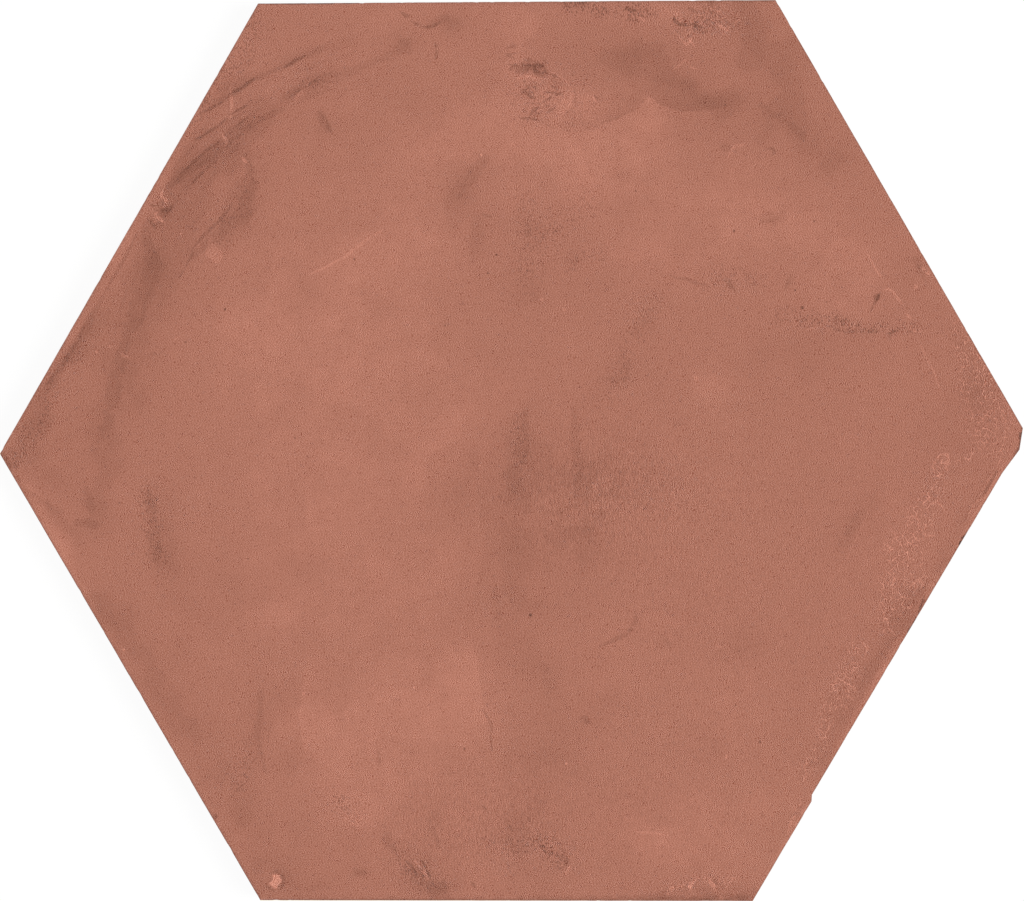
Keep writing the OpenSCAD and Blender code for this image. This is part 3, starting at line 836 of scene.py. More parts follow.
    grain_zones: tuple[Cloud, ...] = marks(Cloud,
        (114, 16, 10, 6, 0.35, -60), (103, -8, 7, 8, 0.35), (95, -36, 12, 6, 0.35, 60),
        (81, -52, 10, 5, 0.35, 60), (75, -72, 9, 5, 0.2, 60), (83, 30, 18, 2.5, 0.4),
        (21, -11, 10, 7, 0.35), (37, -10, 8, 7, 0.3), (2, -2, 4, 10, 0.3), (8, 85, 12, 9, 0.4),
        (8, 54, 14, 9, 0.25), (46, 103, 12, 5, 0.6), (-84, 59, 6, 6, 0.3), (-69, 75, 10, 5, 0.35, 40),
        (-53, 89, 12, 4, 0.35, 25), (-64, 96, 5, 12, 0.3, -28), (-70, 60, 5, 9, 0.25), (31, 35, 6, 5, 0.35),
        (53, 39, 6, 4, 0.35), (51, 12, 9, 3, 0.25), (28, 17, 5, 4, 0.35), (-22, -101, 7, 5, 0.6, -40),
        (6, -97, 12, 6, 0.5), (-41, -87, 6, 5, 0.35), (-58, -103, 7, 5, 0.3), (44, -105, 14, 4, 0.4),
        (-54, -54, 5, 8, 0.25, 30), (-68, -76, 6, 7, 0.35), (-3, -65, 5, 7, 0.25), (33, -64, 8, 7, 0.2),
        (-4, -37, 6, 5, 0.3), (-87, -14, 5, 12, 0.35), (-76, -14, 7, 6, 0.3), (-118, -1, 5, 7, 0.4, -20),
        (-107, 21, 4, 12, 0.4, -30), (-41, -12, 9, 9, -0.22), (-57, -29, 11, 11, -0.22),
        (-48, -60, 10, 6, -0.22), (-17, -65, 6, 11, -0.25), (-4, 76, 13, 5, -0.22), (33, 78, 7, 6, -0.25),
        (31, 57, 11, 8, -0.2), (53, 63, 9, 5, -0.2), (-47, 39, 17, 6, -0.2, 40), (0, 14, 11, 6, -0.2, 30),
        (31, -91, 17, 9, -0.2), (-105, -24, 8, 4, -0.25, -60),
    )
    sweep_zones: tuple[Smear, ...] = courses(Smear, 0,
        ((-40, 92, 9, 0.6), (-62, 82, 9, 1), (-80, 62, 8, 1), (-90, 36, 8, 0.8), (-100, 8, 8, 0.4)),
    )
    comb_zones: tuple[Cloud, ...] = marks(Cloud,
        (20, -10, 24, 14, 0.9), (50, -26, 54, 44, 0.45), (36, -84, 40, 20, 0.4), (-12, -90, 24, 14, 0.8),
    )
    scuff_zones: tuple[Cloud, ...] = marks(Cloud,
        (7, 87, 7, 7, 0.8), (42, 103, 4, 3, 1), (51, 104, 4, 3, 0.8), (-84, 56, 5, 6, 0.5),
        (46, -105, 12, 2.5, 0.8), (83, 29, 13, 1.8, 0.5), (53, 40, 4, 3, 0.5), (27, 16, 3, 2, 0.5),
        (31, 34, 2.5, 3, 0.5), (-22, -101, 4, 3, 1, -40), (10, -97, 5, 4, 0.8), (-2, -100, 7, 3, 0.5),
        (-70, 77, 8, 4, 0.4, 40), (-66, 92, 5, 12, 0.25, -28), (-50, 88, 8, 3, 0.4, 20),
    )
    crackle_zones: tuple[Smear, ...] = courses(Smear, 0,
        ((107.4, 28, 2.4, 1.2), (111, 20, 4, 1.3), (114, 13, 5, 1.3), (115.4, 5, 6, 1.15),
         (117, -1, 4, 0.7)),
        ((103, -1, 2, 0.9), (102.6, -6, 2.4, 0.8), (100, -13, 3, 0.9), (97, -17, 3, 0.9),
         (94, -22, 3.5, 0.7)),
        ((109.6, -2, 1.2, 0.8), (110.6, 0, 0.8, 0.8)),
        ((93, -25, 5, 0.8), (93, -33, 5.5, 1.1), (90, -42, 3.5, 0.8)),
        ((82.5, -47, 2.2, 0.8), (82, -53, 2.6, 0.9), (78, -60, 3.5, 0.9), (74, -69, 2.6, 0.7),
         (69, -79, 1.8, 0.6)),
        ((69, -84, 1.6, 0.6), (68, -89, 1.6, 0.8)),
        ((42, 104, 3, 0.5), (47, 104, 4, 0.6), (53, 102, 3, 0.6)), ((33, -107, 1, 0.5), (52, -104, 3, 0.6)),
    )
    pitted_zones: tuple[Smear, ...] = courses(Smear, 0,
        ((62, 32, 1.6, 0.6), (71, 31.4, 2, 0.9), (79, 31, 2.2, 1), (82, 29.4, 1.2, 1.1),
         (90, 29.6, 1.7, 1.4), (97, 29, 1.6, 1)),
        ((1, 85, 3, 0.5), (6, 85, 4, 0.6), (11, 84, 3, 0.5)),
        ((15, 90, 4, 0.35), (20, 85, 4, 0.35), (14, 79, 3, 0.3)), ((40, 102, 3, 0.8), (48, 105, 4, 1)),
        ((14, 106.5, 2.4, 0.9), (22, 105, 2, 0.7), (30, 104.5, 2.4, 0.7)),
        ((12, 107, 1.6, 1.2), (17, 106, 2, 1.5), (21, 105, 1.6, 1)),
        ((26, 106.5, 1.5, 1.2), (30, 105, 2, 1.2), (34, 104, 1.5, 0.8)),
        ((-78, 76, 2, 0.8), (-72, 86, 3, 0.8), (-66, 93, 4, 0.75), (-61, 102, 4, 0.7)),
        ((-63, 70, 3, 0.5), (-64, 58, 4, 0.6), (-70, 52, 3, 0.6)), ((11, 54, 3, 0.6), (18, 60, 3, 0.6)),
        ((14, 42, 3, 0.6), (21, 48, 3, 0.6)), ((-4, -94, 5, 0.5), (8, -96, 4, 1), (13, -100, 3, 1)),
        ((-26, -99, 4, 0.8), (-20, -104, 3, 0.6)), ((-42, -84, 2.6, 1), (-38, -89, 2.6, 0.7)),
        ((50, 41, 4, 0.6), (60, 40, 3, 0.5)), ((24, 14, 3, 0.6), (34, 36, 3, 0.6)),
        ((-106, 22, 3, 0.5), (-112, 14, 3, 0.6), (-118, -2, 4, 0.9)),
        ((-88, -12, 3, 0.8), (-84, -28, 4, 0.6)), ((-66, -80, 4, 0.7), (-60, -68, 4, 0.5)),
        ((4, 60, 5, 0.5), (6, 48, 6, 0.6), (3, 38, 4, 0.5)), ((3, 9, 2, 0.6), (3, 0, 3, 0.9)),
        ((-50, 87, 2.4, 0.7), (-44, 90, 2, 0.6)),
    )
    push_x: Noise = Noise(seed=11, size=16, layers=4, gain=0.6, strength=2.0)
    push_y: Noise = Noise(seed=21, size=16, layers=4, gain=0.6, strength=2.0)
    patches: Noise = Noise(seed=31, size=9, layers=4, gain=0.6, strength=0.35)
    mottle: Noise = Noise(seed=41, size=22, layers=3, gain=0.85, strength=1.3)
    rim_push_x: Noise = Noise(seed=131, size=2.4, layers=2, strength=0.5)
    rim_push_y: Noise = Noise(seed=135, size=2.4, layers=2, strength=0.5)
    waves: Noise = Noise(seed=61, size=60, layers=3, strength=0.05)
    dimples: Noise = Noise(seed=71, size=3.2, layers=2, strength=0.006)
    hollows: Noise = Noise(seed=81, size=2.6, layers=2, strength=0.05)
    hollow_depth: float = 0.05
    flake: Cloud = Cloud(-56.7, -103.7, 1.7, 2.1, -0.16)
    dot_fade: Pair = (1.5, 1.9)
    bare_edge: float = -9.0
    # painted light and shade on the arris: pale on the left-hand sides, dark on the right-hand and bottom
    # ones
    upper_left_painted_light: float = 50.0
    lower_left_painted_light: float = 23.0
    right_painted_shade: float = 28.0
    bottom_painted_shade: float = -12.0
    bottom_facing: float = -0.9
    painted_arris_depth: float = 0.45

    def wander(self, x: Array, y: Array) -> tuple[Array, Array]:
        """Places pushed about by noise, so that the marks drawn on them get uneven edges."""
        return x + self.push_x.over(x, y), y + self.push_y.over(x, y)

    def tone(self, x: Array, y: Array) -> Array:
        """Soft tones: the sweeps and clouds, made patchy by noise, the rim's marks with their painted light
        and shade, and the body's own mottle.

        Args:
            x: places along X.
            y: places along Y.

        Returns:
            Tone of each place.
        """
        near_x, near_y = self.wander(x, y)
        tone = np.zeros(x.shape)
        for mark in (*self.dark_sweeps_and_edge_shade, *self.dark_clouds, *self.light_clouds):
            tone += mark.over(near_x, near_y)
        rim_x, rim_y = x + self.rim_push_x.over(x, y), y + self.rim_push_y.over(x, y)
        rim = sum(mark.over(rim_x, rim_y) for mark in self.rim_smears_and_arris_shading)
        return tone * (1 + self.patches.over(x, y)) + rim + self.mottle.over(x, y)

    def painted_arris_light_and_shade(self, depth: Array, out_x: Array, out_y: Array) -> Array:
        """Painted light and shade on the arris, pale or dark, fading with depth as exp(-(depth / d)^2), where
        d is the arris's fading depth.

        Args:
            depth: how far inside the outline each place lies.
            out_x: the way out there, along X.
            out_y: the way out there, along Y.

        Returns:
            Tone of each place: painted light on the left-hand sides, painted shade on the right-hand and
                bottom ones.
        """
        left = np.where(out_y > 0, self.upper_left_painted_light, self.lower_left_painted_light)
        even = -out_x * np.where(out_x < 0, left, self.right_painted_shade)
        dark = self.bottom_painted_shade * (out_y < self.bottom_facing)
        return (even + dark) * np.exp(-(depth / self.painted_arris_depth) ** 2)

    def film(self, x: Array, y: Array) -> dict[Trace, Array]:
        """Works out where the films lie.

        Args:
            x: places along X.
            y: places along Y.

        Returns:
            Distance inside the edge of the film that is nearest, and that film's tone.
        """
        edge, tone = np.full(x.shape, self.bare_edge), np.zeros(x.shape)
        strongest = np.zeros(x.shape)
        for mark in self.films:
            inside, film_tone, nearness = mark.over(x, y)
            nearer = nearness > strongest
            strongest = np.maximum(strongest, nearness)
            edge, tone = np.where(nearer, inside, edge), np.where(nearer, film_tone, tone)
        return {Trace.FILM_EDGE: edge, Trace.FILM_TONE: tone}

    @staticmethod
    def drawn(lines: tuple[Line, ...], x: Array, y: Array) -> tuple[Array, Array]:
        """The nearest of several lines at each place.

        Args:
            lines: the lines.
            x: places along X.
            y: places along Y.

        Returns:
            Distance from the nearest line in its half widths, positive on its left, and its tone.
        """
        best = np.full(x.shape, np.inf)
        away, tone = np.zeros(x.shape), np.zeros(x.shape)
        for line in lines:
            signed, widths, line_tone = line.over(x, y)
            closer = np.abs(signed) < best
            best = np.where(closer, np.abs(signed), best)
            away, tone = np.where(closer, widths, away), np.where(closer, line_tone, tone)
        return away, tone

    def nearest_dot(self, x: Array, y: Array) -> dict[Trace, Array]:
        """Works out where the dots lie.

        Args:
            x: places along X.
            y: places along Y.

        Returns:
            Way from the nearest dot in its radii, and its tone, which fades out over dot_fade.
        """
        data = np.array([(dot.x, dot.y, dot.radius, dot.tone) for dot in self.dots])
        away_x, away_y = x[:, None] - data[:, 0], y[:, None] - data[:, 1]
        distance = np.hypot(away_x, away_y)
        nearest = distance.argmin(axis=1)
        rows = np.arange(len(x))
        radius, tone = data[nearest, 2], data[nearest, 3]
        return {
            Trace.DOT_X: away_x[rows, nearest] / radius,
            Trace.DOT_Y: away_y[rows, nearest] / radius,
            Trace.DOT_TONE: tone * (1 - ease(*self.dot_fade, distance[rows, nearest])),
        }

    def zone(self, zones: tuple[Smear | Cloud, ...], x: Array, y: Array) -> Array:
        """Strength of a kind of wear at each place: the sum of its zones, with uneven edges."""
        near_x, near_y = self.wander(x, y)
        return sum(zone.over(near_x, near_y) for zone in zones)

    def traces(self, x: Array, y: Array) -> dict[Trace, Array]:
        """What each place carries.

        Args:
            x: places along X.
            y: places along Y.

        Returns:
            One array per trace, apart from the raw body's, which only the mesh knows.
        """
        zones = {
            Trace.GRAIN: self.grain_zones,
            Trace.SWEEP: self.sweep_zones,
            Trace.COMB: self.comb_zones,
            Trace.SCUFF: self.scuff_zones,
            Trace.CRACKLE: self.crackle_zones,
            Trace.PITTED: self.pitted_zones,
        }
        return {
            Trace.TONE: self.tone(x, y),
            Trace.SMUDGE: np.max([mark.over(x, y) for mark in self.smudges], axis=0),
            **self.film(x, y),
            **dict(zip((Trace.LINE_AWAY, Trace.LINE_TONE), self.drawn(self.lines, x, y))),
            **dict(zip((Trace.CROSS_AWAY, Trace.CROSS_TONE), self.drawn(self.crossing_lines, x, y))),
            **self.nearest_dot(x, y),
            **{trace: self.zone(marked, x, y) for trace, marked in zones.items()},
        }

    def relief(self, x: Array, y: Array) -> Array:
        """Height of the face, at most 0: slow waves, small dimples, hollows where it is scuffed, a flake.

        Args:
            x: places along X.
            y: places along Y.

        Returns:
            Height of each place above the nominal face.
        """
        hollows = self.zone(self.scuff_zones, x, y) * (self.hollows.over(x, y) - self.hollow_depth)
        height = self.waves.over(x, y) + self.dimples.over(x, y) + hollows + self.flake.over(x, y)
        return height - height.max()


# ---------- the tile's mesh


@dataclass
class HexagonTile:
    """The tile in one piece: wearing face, edge carried round the outline, and keyed back.

    A band is two depths below the wearing face: something is gone at the first, and whole at the
    second.
    """

    low: Vector
    high: Vector
    outline: Outline = Outline()
    worn_and_shaded: WornFaceAndEdgeShade = WornFaceAndEdgeShade()
    arris: float = 0.8
    arris_rings: int = 6
    side_rings: int = 8
    chamfer: float = 0.6
    row_pitch: float = 0.86
    columns: int = 296
    key_pitch: float = 20.0
    key_rib: float = 2.4
    key_depth: float = 0.6
    key_slope: float = 0.25
    key_rings: int = 5
    key_points: int = 12
    edge_waves: Noise = Noise(seed=91, size=9, layers=3, strength=0.03)
    edge_set_in: float = 0.02
    chips: Noise = Noise(seed=95, size=2.4, layers=2)
    chip_levels: Pair = (0.4, 0.95)
    chip_depth: float = 0.14
    chipped_band: Pair = (2.2, 0.5)
    rubbed_band: Pair = (2.2, 0.7)
    # band through which the arris's painted light and shade fades in
    painted_arris_band: Pair = (2.0, 0.8)
    raw_band: Pair = (1.6, 0.3)
    raw_pitting: float = 0.5
    raw_scuffing: float = 0.3
    weld: float = 1e-6

    @property
    def thickness(self) -> float:
        """Height from the back to the wearing face."""
        return (self.high.z - self.low.z) / MM

    def in_band(self, band: Pair, height: Array) -> Array:
        """How far each height has come up through a band, from 0 to 1."""
        return ease(self.thickness - band[0], self.thickness - band[1], height)

    @staticmethod
    def hand_sides(plan: Array) -> tuple[Array, Array]:
        """The outline's corners up its left-hand sides and up its right-hand sides."""
        return plan[[8, 9, 0]], plan[[7, 6, 5, 4, 3, 2, 1]]

    def row_shares(self) -> tuple[Array, Array, Array]:
        """Shares of the height at which the face's rows lie, with one row through each corner.

        Returns:
            The rows' shares, and the shares of the left-hand and of the right-hand corners.
        """
        left, right = self.hand_sides(self.outline.corners(self.arris))
        left_knots = (left[:, 1] - left[0, 1]) / (left[-1, 1] - left[0, 1])
        right_knots = (right[:, 1] - right[0, 1]) / (right[-1, 1] - right[0, 1])
        knots = np.unique(np.concatenate([left_knots, right_knots]).round(9))
        height = right[-1, 1] - right[0, 1]
        spans = []
        for start, end in zip(knots[:-1], knots[1:]):
            count = max(1, round((end - start) * height / self.row_pitch))
            spans.append(np.linspace(start, end, count, endpoint=False))
        return np.concatenate([*spans, [1.0]]), left_knots, right_knots

    def face_grid(self) -> tuple[Array, Array]:
        """Plan of the wearing face.

        A row joins its point on the left-hand sides to its point on the right-hand sides, and the
        columns share it out evenly.

        Returns:
            Places, rows by columns by 2; and for each point of the grid's rim, clockwise from the
            upper left corner, its run's number plus its share of that run.
        """
        rows, left_knots, right_knots = self.row_shares()
        left, right = self.hand_sides(self.outline.corners(self.arris))
        starts = np.stack([np.interp(rows, left_knots, left[:, i]) for i in range(2)], axis=1)
        ends = np.stack([np.interp(rows, right_knots, right[:, i]) for i in range(2)], axis=1)
        across = np.linspace(0, 1, self.columns)
        grid = starts[:, None, :] + (ends - starts)[:, None, :] * across[None, :, None]
        up_left = np.interp(rows, left_knots, [8, 9, 10])
        up_right = np.interp(rows, right_knots, [7, 6, 5, 4, 3, 2, 1])
        rim = np.concatenate([across, up_right[-2::-1], 7 + across[1:], up_left[1:-1]])
        return grid, rim

    def loop(self, rim: Array, inset: float) -> Array:
        """Points of a ring round the tile, each at its share of its run.

        Args:
            rim: each point's run number plus its share of that run.
            inset: how far in the ring lies.

        Returns:
            The points in plan.
        """
        plan = self.outline.corners(inset)
        closed = np.vstack([plan, plan[:1]])
        numbers = np.arange(len(closed))
        return np.stack([np.interp(rim, numbers, closed[:, i]) for i in range(2)], axis=1)

    def section(self) -> list[Pair]:
        """Draws the edge in section: a quarter round, an upright side and a flat chamfer.

        Returns:
            Points from just under the face down: how far in, and height.
        """
        turns = [math.pi / 2 * (1 - i / self.arris_rings) for i in range(1, self.arris_rings + 1)]
        arris = [
            (self.arris * (1 - math.cos(t)), self.thickness - self.arris * (1 - math.sin(t))) for t in turns
        ]
        top = self.thickness - self.arris
        drop = (top - self.chamfer) / self.side_rings
        side = [(0.0, top - drop * i) for i in range(1, self.side_rings + 1)]
        return [*arris, *side, (self.chamfer, 0.0)]

    def key_middles(self) -> Array:
        """Sets the key pockets out as a honeycomb, in rings round the mould's middle.

        Returns:
            Their middles.
        """
        reach = self.key_rings
        return np.array([
            ((column + row / 2) * self.key_pitch, row * self.key_pitch * math.cos(math.pi / 6))
            for row in range(-reach, reach + 1)
            for column in range(max(-reach, -reach - row), min(reach, reach - row) + 1)
        ]) - self.outline.middle()

    def key_loop(self, shrink: float) -> Array:
        """Plan of a pocket, a regular hexagon round its own middle.

        Args:
            shrink: how far in its walls lie.

        Returns:
            Points evenly spaced along its sides, anticlockwise.
        """
        apothem = (self.key_pitch - self.key_rib) / 2 - shrink
        radius = apothem / math.cos(math.pi / 6)
        per_side = self.key_points // 6
        angles = np.radians(30 + 60 * np.arange(7))
        plan = radius * np.stack([np.cos(angles), np.sin(angles)], axis=1)
        shares = np.arange(self.key_points) / per_side
        return np.stack([np.interp(shares, np.arange(7), plan[:, i]) for i in range(2)], axis=1)

    def worn_edge(self, points: Array) -> Array:
        """Edge points pulled in a little: small waves, and nicks where noise passes a threshold.

        Args:
            points: rings by points by 3.

        Returns:
            The same points, pulled in along the outline's way in.
        """
        x, y, z = (points[..., i].ravel() for i in range(3))
        _, out_x, out_y = self.outline.depth(x, y)
        waves = self.edge_set_in + self.edge_waves.over(x + z, y - z)
        chips = ease(*self.chip_levels, self.chips.over(x + 0.5 * z, y + 0.5 * z))
        pull = waves + self.chip_depth * chips * self.in_band(self.chipped_band, z)
        pull = np.maximum(pull, 0).reshape(points.shape[:2])
        moved = points.copy()
        moved[..., 0] -= pull * out_x.reshape(pull.shape)
        moved[..., 1] -= pull * out_y.reshape(pull.shape)
        return moved

    @staticmethod
    def bands(rings: Array) -> Array:
        """Quads between each of several closed rings of point numbers and the next one."""
        upper, lower = rings[:-1], rings[1:]
        return np.stack([upper, np.roll(upper, -1, axis=1), np.roll(lower, -1, axis=1), lower], axis=-1)

    def build(self) -> bpy.types.Object:
        """Makes the mesh from its three surfaces and gives every point its traces.

        Returns:
            The tile's object, at the origin, with its place in its mesh.
        """
        grid, rim = self.face_grid()
        rows, columns = grid.shape[:2]
        x, y = grid[..., 0].ravel(), grid[..., 1].ravel()
        face = np.stack([x, y, self.thickness + self.worn_and_shaded.relief(x, y)], axis=1)
        numbers = np.arange(rows * columns).reshape(rows, columns)
        face_quads = np.stack(
            [numbers[:-1, :-1], numbers[:-1, 1:], numbers[1:, 1:], numbers[1:, :-1]], axis=-1
        ).reshape(-1, 4)
        border = np.concatenate([numbers[-1], numbers[-2::-1, -1], numbers[0, -2::-1], numbers[1:-1, 0]])

        rings = np.array([
            np.column_stack([self.loop(rim, inset), np.full(len(rim), height)])
            for inset, height in self.section()
        ])
        sink = face[border, 2] - self.thickness
        rings[..., 2] += sink[None, :] * self.in_band((self.arris, 0.0), rings[..., 2])
        edge = self.worn_edge(rings)
        edge[-1, :, :] = rings[-1]
        face[border] = self.worn_edge(face[border][None])[0]
        edge_numbers = len(face) + np.arange(edge.shape[0] * len(rim)).reshape(edge.shape[0], -1)
        edge_quads = self.bands(np.vstack([border, edge_numbers]))
        chamfer_quads = edge_quads[-1]
        edge_quads = edge_quads[:-1].reshape(-1, 4)

        points = np.vstack([face, edge.reshape(-1, 3)])
        back_points, back_faces, key_faces = self.back(points, edge_numbers[-1])
        points = np.vstack([points, back_points])

        smooth_faces = np.vstack([face_quads, edge_quads]).tolist()
        flat_faces = [*chamfer_quads.tolist(), *back_faces.tolist(), *key_faces]
        mesh = bpy.data.meshes.new(TILE_PIECE)
        mesh.from_pydata((points * MM).tolist(), [], smooth_faces + flat_faces)
        smoothness = np.zeros(len(smooth_faces) + len(flat_faces), bool)
        smoothness[:len(smooth_faces)] = True
        mesh.polygons.foreach_set("use_smooth", smoothness)
        self.carry_traces(mesh, points)
        mesh.update()
        mesh.validate()
        tile = bpy.data.objects.new(TILE_PIECE, mesh)
        bpy.context.scene.collection.objects.link(tile)
        return tile

    def back(self, points: Array, border: Array) -> tuple[Array, Array, list[list[int]]]:
        """The flat back between the chamfer and the pockets, and the pockets themselves.

        The land is triangulated between the border and the pockets' mouths. A pocket's wall is a
        ring of quads up to its floor, which is a fan round the pocket's middle.

        Args:
            points: all points so far.
            border: numbers of the points round the back, clockwise.

        Returns:
            New points; the land's triangles; and the pockets' faces.
        """
        first, count = len(points), self.key_points
        middles = self.key_middles()
        mouths, floors = (
            (middles[:, None, :] + self.key_loop(shrink)[None]).reshape(-1, 2)
            for shrink in (0.0, self.key_slope)
        )
        new = np.vstack([
            np.column_stack([mouths, np.zeros(len(mouths))]),
            np.column_stack([floors, np.full(len(floors), self.key_depth)]),
            np.column_stack([middles, np.full(len(middles), self.key_depth)]),
        ])
        plan = np.vstack([points[border, :2], mouths])
        known = np.concatenate([border, first + np.arange(len(mouths))])
        ring = np.arange(len(border))
        sides = len(border) + np.arange(len(mouths)).reshape(len(middles), count)
        links = np.vstack([
            np.stack([ring, np.roll(ring, -1)], axis=1),
            np.stack([sides, np.roll(sides, -1, axis=1)], axis=-1).reshape(-1, 2),
        ])
        made = delaunay_2d_cdt([Vector(p) for p in plan], links.tolist(), [], 1, self.weld)
        source = np.array([origin[0] for origin in made[3]])
        triangles = source[np.array(made[2])]
        away = plan[triangles].mean(axis=1)[:, None, :] - middles[None]
        facing = np.radians(60 * np.arange(3))
        spread = np.abs(away[..., :1] * np.cos(facing) + away[..., 1:] * np.sin(facing)).max(axis=-1)
        apothem = (self.key_pitch - self.key_rib) / 2
        land = known[triangles[spread.min(axis=1) > apothem]][:, ::-1]

        mouth = first + np.arange(len(mouths)).reshape(-1, count)
        floor = mouth + len(mouths)
        middle = np.repeat(first + 2 * len(mouths) + np.arange(len(middles)), count).reshape(-1, count)
        next_mouth, next_floor = np.roll(mouth, -1, axis=1), np.roll(floor, -1, axis=1)
        walls = np.stack([floor, next_floor, next_mouth, mouth], axis=-1).reshape(-1, 4)
        fans = np.stack([middle, next_floor, floor], axis=-1).reshape(-1, 3)
        return new, land, [*walls.tolist(), *fans.tolist()]

    def carry_traces(self, mesh: bpy.types.Mesh, points: Array) -> None:
        """Writes the traces of every point into the mesh as attributes.

        Args:
            mesh: the tile's mesh.
            points: its points in millimetres.
        """
        x, y, z = points.T
        traces = self.worn_and_shaded.traces(x, y)
        rubbed = self.in_band(self.rubbed_band, z)
        for trace in FACE_ONLY_TRACES:
            traces[trace] = traces[trace] * rubbed
        raw = 1 - self.in_band(self.raw_band, z)
        traces[Trace.RAW] = raw
        traces[Trace.GRAIN] += 1
        traces[Trace.PITTED] += self.raw_pitting * raw
        traces[Trace.SCUFF] += self.raw_scuffing * raw
        # painted light and shade on the arris, added to the tone near the face
        painted_arris_light_and_shade = self.worn_and_shaded.painted_arris_light_and_shade(*self.outline.depth(x, y))
        traces[Trace.TONE] += painted_arris_light_and_shade * self.in_band(self.painted_arris_band, z)
        for trace, values in traces.items():
            attribute = mesh.attributes.new(trace.value, "FLOAT", "POINT")
            attribute.data.foreach_set("value", values.astype(np.float32))


# ---------- shader expressions


@dataclass(frozen=True)
class Pattern:
    """Shader noise: how wide its widest cells are, and how many finer layers are added to them.

    `seed` moves the pattern, so that two differ; `roughness` is the strength of a finer layer over
    the last one's; and `stretch` tells how much longer the cells are along each axis.
    """

    size: float
    layers: float
    seed: float
    roughness: float = 0.5
    stretch: Triple = (1, 1, 1)
    seed_step: Triple = (7.3, 3.1, 5.7)


class Bench:
    """A node tree, with one way to add a node."""

    def __init__(self, tree: bpy.types.NodeTree) -> None:
        """Empties the tree.

        Args:
            tree: a material's or a world's node tree.
        """
        self.tree = tree
        self.tree.nodes.clear()

    def node(self, kind: str, settings: dict[str, Any] | None = None, inputs: dict | None = None) -> Any:
        """Adds a node.

        Args:
            kind: the node's type.
            settings: properties to set before anything else.
            inputs: a value or a link for each socket, by name or number.

        Returns:
            The node.
        """
        made = self.tree.nodes.new(kind)
        for name, value in (settings or {}).items():
            setattr(made, name, value)
        for name, value in (inputs or {}).items():
            if isinstance(value, Value):
                value = value.socket
            if isinstance(value, bpy.types.NodeSocket):
                self.tree.links.new(value, made.inputs[name])
            else:
                made.inputs[name].default_value = value
        return made

    def value(self, kind: str, settings: dict[str, Any] | None = None, inputs: dict | None = None,
              output: str | int = 0) -> "Value":
        """Adds a node and takes one of its outputs, by name or number."""
        return Value(self, self.node(kind, settings, inputs).outputs[output])

    def maths(self, operation: str, *terms: "Value | float") -> "Value":
        """Adds a Math node on up to three terms."""
        return self.value("ShaderNodeMath", {"operation": operation}, dict(enumerate(terms)))

    def vector(self, operation: str, *terms: Any) -> "Value":
        """Adds a Vector Math node on vectors."""
        return self.value("ShaderNodeVectorMath", {"operation": operation}, dict(enumerate(terms)))

    def joined(self, x: "Value", y: "Value") -> "Value":
        """Vector of an X and a Y."""
        return self.value("ShaderNodeCombineXYZ", None, {"X": x, "Y": y})

    def axes(self, places: "Value") -> list["Value"]:
        """X, Y and Z of a vector."""
        parted = self.node("ShaderNodeSeparateXYZ", None, {0: places})
        return [Value(self, parted.outputs[name]) for name in "XYZ"]

    def flat(self, places: "Value") -> "Value":
        """Places in two dimensions: X, and Y plus height, so that the sides get even cells too."""
        x, y, z = self.axes(places)
        return self.joined(x, y + z)

    def trace(self, trace: Trace) -> "Value":
        """What the surface carries under a trace's name."""
        return self.value("ShaderNodeAttribute", {"attribute_name": trace.value}, output="Fac")

    def step(self, value: "Value", low: float, high: float) -> "Value":
        """Smooth step from 0 at `low` to 1 at `high`, which may be the lesser of the two."""
        settings = {"interpolation_type": "SMOOTHSTEP"}
        return self.value("ShaderNodeMapRange", settings, {"Value": value, "From Min": low, "From Max": high})

    def noise(self, places: "Value", pattern: Pattern) -> "Value":
        """Noise about 0, from -1 to 1.

        Args:
            places: where, in millimetres.
            pattern: which noise.

        Returns:
            The noise.
        """
        scale = tuple(1 / (pattern.size * stretch) for stretch in pattern.stretch)
        start = tuple(pattern.seed * step for step in pattern.seed_step)
        moved = self.vector("MULTIPLY_ADD", places, scale, start)
        inputs = {"Vector": moved, "Scale": 1.0, "Detail": pattern.layers, "Roughness": pattern.roughness}
        return self.value("ShaderNodeTexNoise", None, inputs, "Fac") * 2.0 - 1.0

    def finish(self, kind: str, surface: bpy.types.NodeSocket) -> None:
        """Links a shader to the tree's output node."""
        self.node(kind, None, {"Surface": surface})


class Value:
    """A number socket. Each operator on it adds a Math node, so shader maths reads as a formula."""

    def __init__(self, bench: Bench, socket: bpy.types.NodeSocket) -> None:
        """Wraps a socket.

        Args:
            bench: the tree that it is in.
            socket: the output socket.
        """
        self.bench = bench
        self.socket = socket

    def __add__(self, other: "Value | float") -> "Value":
        """Sum."""
        return self.bench.maths("ADD", self, other)

    def __radd__(self, other: float) -> "Value":
        """Sum."""
        return self.bench.maths("ADD", other, self)

    def __sub__(self, other: "Value | float") -> "Value":
        """Difference."""
        return self.bench.maths("SUBTRACT", self, other)

    def __rsub__(self, other: float) -> "Value":
        """Difference from a number."""
        return self.bench.maths("SUBTRACT", other, self)

    def __mul__(self, other: "Value | float") -> "Value":
        """Product."""
        return self.bench.maths("MULTIPLY", self, other)

    def __rmul__(self, other: float) -> "Value":
        """Product."""
        return self.bench.maths("MULTIPLY", other, self)

    def __pow__(self, other: float) -> "Value":
        """Power."""
        return self.bench.maths("POWER", self, other)

    def __abs__(self) -> "Value":
        """Size without sign."""
        return self.bench.maths("ABSOLUTE", self)


# ---------- the finishes


@dataclass
class Layer:
    """What one kind of wear adds: tone in grey levels, and height in millimetres."""

    tone: Value
    height: Value

    def __add__(self, other: "Layer") -> "Layer":
        """Both layers together."""
        return Layer(self.tone + other.tone, self.height + other.height)


